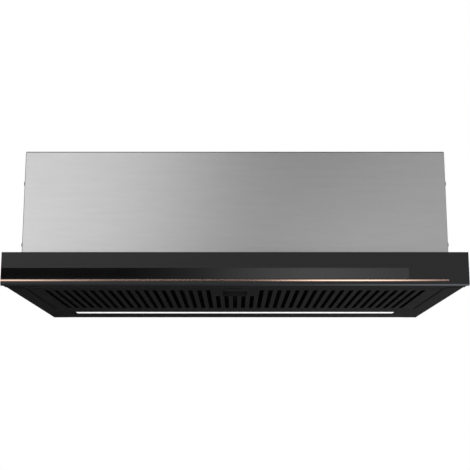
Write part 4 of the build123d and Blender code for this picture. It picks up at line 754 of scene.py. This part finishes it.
def hang_card(name, low, high, strength, stops):
    """Glowing card between two corners, upright or flat, whose tone follows its stops across it."""
    material = bpy.data.materials.new(name)
    material.use_nodes = True
    tree = material.node_tree
    tree.nodes.clear()
    across = add(tree, "SeparateXYZ", {"Vector": add(tree, "TexCoord").outputs["Object"]})
    share = add(tree, "MapRange", {"Value": across.outputs["X"], "From Min": -CARD_HALF,
                                   "From Max": CARD_HALF})
    tone = add(tree, "ValToRGB", {"Fac": share.outputs["Result"]}, stops)
    light = add(tree, "Emission", {"Color": tone.outputs["Color"], "Strength": strength})
    add(tree, "OutputMaterial", {"Surface": light.outputs["Emission"]})
    size = Vector((2 * CARD_HALF, *high)) - Vector((0, *low))
    mesh = bmesh.new()
    bmesh.ops.create_grid(mesh, x_segments=1, y_segments=1, size=0.5)
    if size.z > 0:
        upright = Matrix.Rotation(math.pi / 2, 3, "X")
        bmesh.ops.rotate(mesh, cent=(0, 0, 0), matrix=upright, verts=mesh.verts)
    bmesh.ops.scale(mesh, vec=size, verts=mesh.verts)
    bmesh.ops.translate(mesh, vec=(0, (low[0] + high[0]) / 2, (low[1] + high[1]) / 2), verts=mesh.verts)
    card = make_piece(name, mesh, material)
    card.visible_camera = False
    return card


def at(metres):
    """Place on a card, as a share from its left end, of a distance from its middle."""
    return (metres + CARD_HALF) / (2 * CARD_HALF)


hang_card("upper_card", (CARD_DEPTH, GLOSS_HIGH), (CARD_DEPTH, CARD_HIGH), CARD_STRENGTH,
          ((at(-0.43), "#c0c0c0"), (at(-0.28), "#acacac"), (at(-0.13), "#919191"), (at(0.0), "#727272"),
           (at(0.15), "#494949"), (at(0.36), "#3a3a3a"), (at(0.62), "#595959"), (at(0.9), "#7a7a7a")))
hang_card("gloss_card", (CARD_DEPTH, GLOSS_LOW), (CARD_DEPTH, GLOSS_HIGH), CARD_STRENGTH,
          ((at(-0.42), "#353535"), (at(-0.28), "#595959"), (at(-0.13), "#848484"), (at(0.0), "#b2b2b2"),
           (at(0.12), "#cecece"), (at(0.25), "#e4e4e4"), (at(0.36), "#e6e6e6"), (at(0.62), "#c8c8c8")))
hang_card("middle_card", (CARD_DEPTH, MIDDLE_LOW), (CARD_DEPTH, GLOSS_LOW), CARD_STRENGTH,
          ((at(-0.9), "#fafafa"), (at(-0.66), "#e6e6e6"), (at(-0.43), "#cfcfcf"), (at(-0.13), "#b2b2b2"),
           (at(0.0), "#a4a4a4"), (at(0.12), "#a6a6a6"), (at(0.36), "#bbbbbb"), (at(0.62), "#c0c0c0")))
hang_card("lower_card", (CARD_DEPTH, CARD_LOW), (CARD_DEPTH, MIDDLE_LOW), LOWER_STRENGTH,
          ((at(-0.86), "#c2c2c2"), (at(-0.77), "#a2a2a2"), (at(-0.66), "#787878"), (at(-0.54), "#4a4a4a"),
           (at(-0.43), "#404040"), (at(0.03), "#181818"), (at(0.12), "#3f3f3f"), (at(0.25), "#b5b5b5"),
           (at(0.36), "#dfdfdf"), (at(0.49), "#e9e9e9"), (at(0.62), "#cbcbcb"), (at(0.78), "#383838")))
hang_card("floor_card", (FLOOR_CARD_NEAR, FLOOR_CARD_LEVEL), (FLOOR_CARD_FAR, FLOOR_CARD_LEVEL),
          CARD_STRENGTH,
          ((at(-0.6), "#606060"), (at(0.0), "#6c6c6c"), (at(0.2), "#8c8c8c"), (at(0.6), "#e4e4e4")))
flag = hang_card("rear_flag", (FLAG_DEPTH, FLAG_LOW), (FLAG_DEPTH, FLAG_HIGH), FLAG_STRENGTH,
                 ((at(-0.5), "#000000"), (at(0.0), "#2c2c2c"), (at(0.45), "#585858")))
# The flag shows in reflections only.
flag.visible_diffuse = False
flag.visible_shadow = False

LAMP_SIZE = (1.6, 1.2)
LAMP_WATTS = 22.0
LAMP_PLACE = Vector((-0.5, -0.9, 1.7))
LAMP_AIM = Vector((0, 0, 0.1))
lamp = bpy.data.objects.new("soft_top_lamp", bpy.data.lights.new("soft_top_lamp", "AREA"))
lamp.data.shape = "RECTANGLE"
lamp.data.size = LAMP_SIZE[0]
lamp.data.size_y = LAMP_SIZE[1]
lamp.data.energy = LAMP_WATTS
lamp.location = LAMP_PLACE
lamp.rotation_euler = (LAMP_AIM - LAMP_PLACE).to_track_quat("-Z", "Y").to_euler()
lamp.visible_glossy = False
scene.collection.objects.link(lamp)


# Camera: in front of the hood and a little below it, looking slightly up. Its frame is shifted
# up, so that the hood stands in the middle of the picture.

SENSOR_MM = 36.0
LENS_MM = 62.61
CAMERA_SHIFT = 0.1287
CAMERA_PLACE = (0.0, -1.179, -0.1832)
CAMERA_RISE_DEGREES = 9.43
camera = bpy.data.objects.new("camera", bpy.data.cameras.new("camera"))
camera.data.sensor_width = SENSOR_MM
camera.data.lens = LENS_MM
camera.data.shift_y = CAMERA_SHIFT
camera.location = CAMERA_PLACE
camera.rotation_euler = (math.radians(90 + CAMERA_RISE_DEGREES), 0, 0)
scene.collection.objects.link(camera)
scene.camera = camera
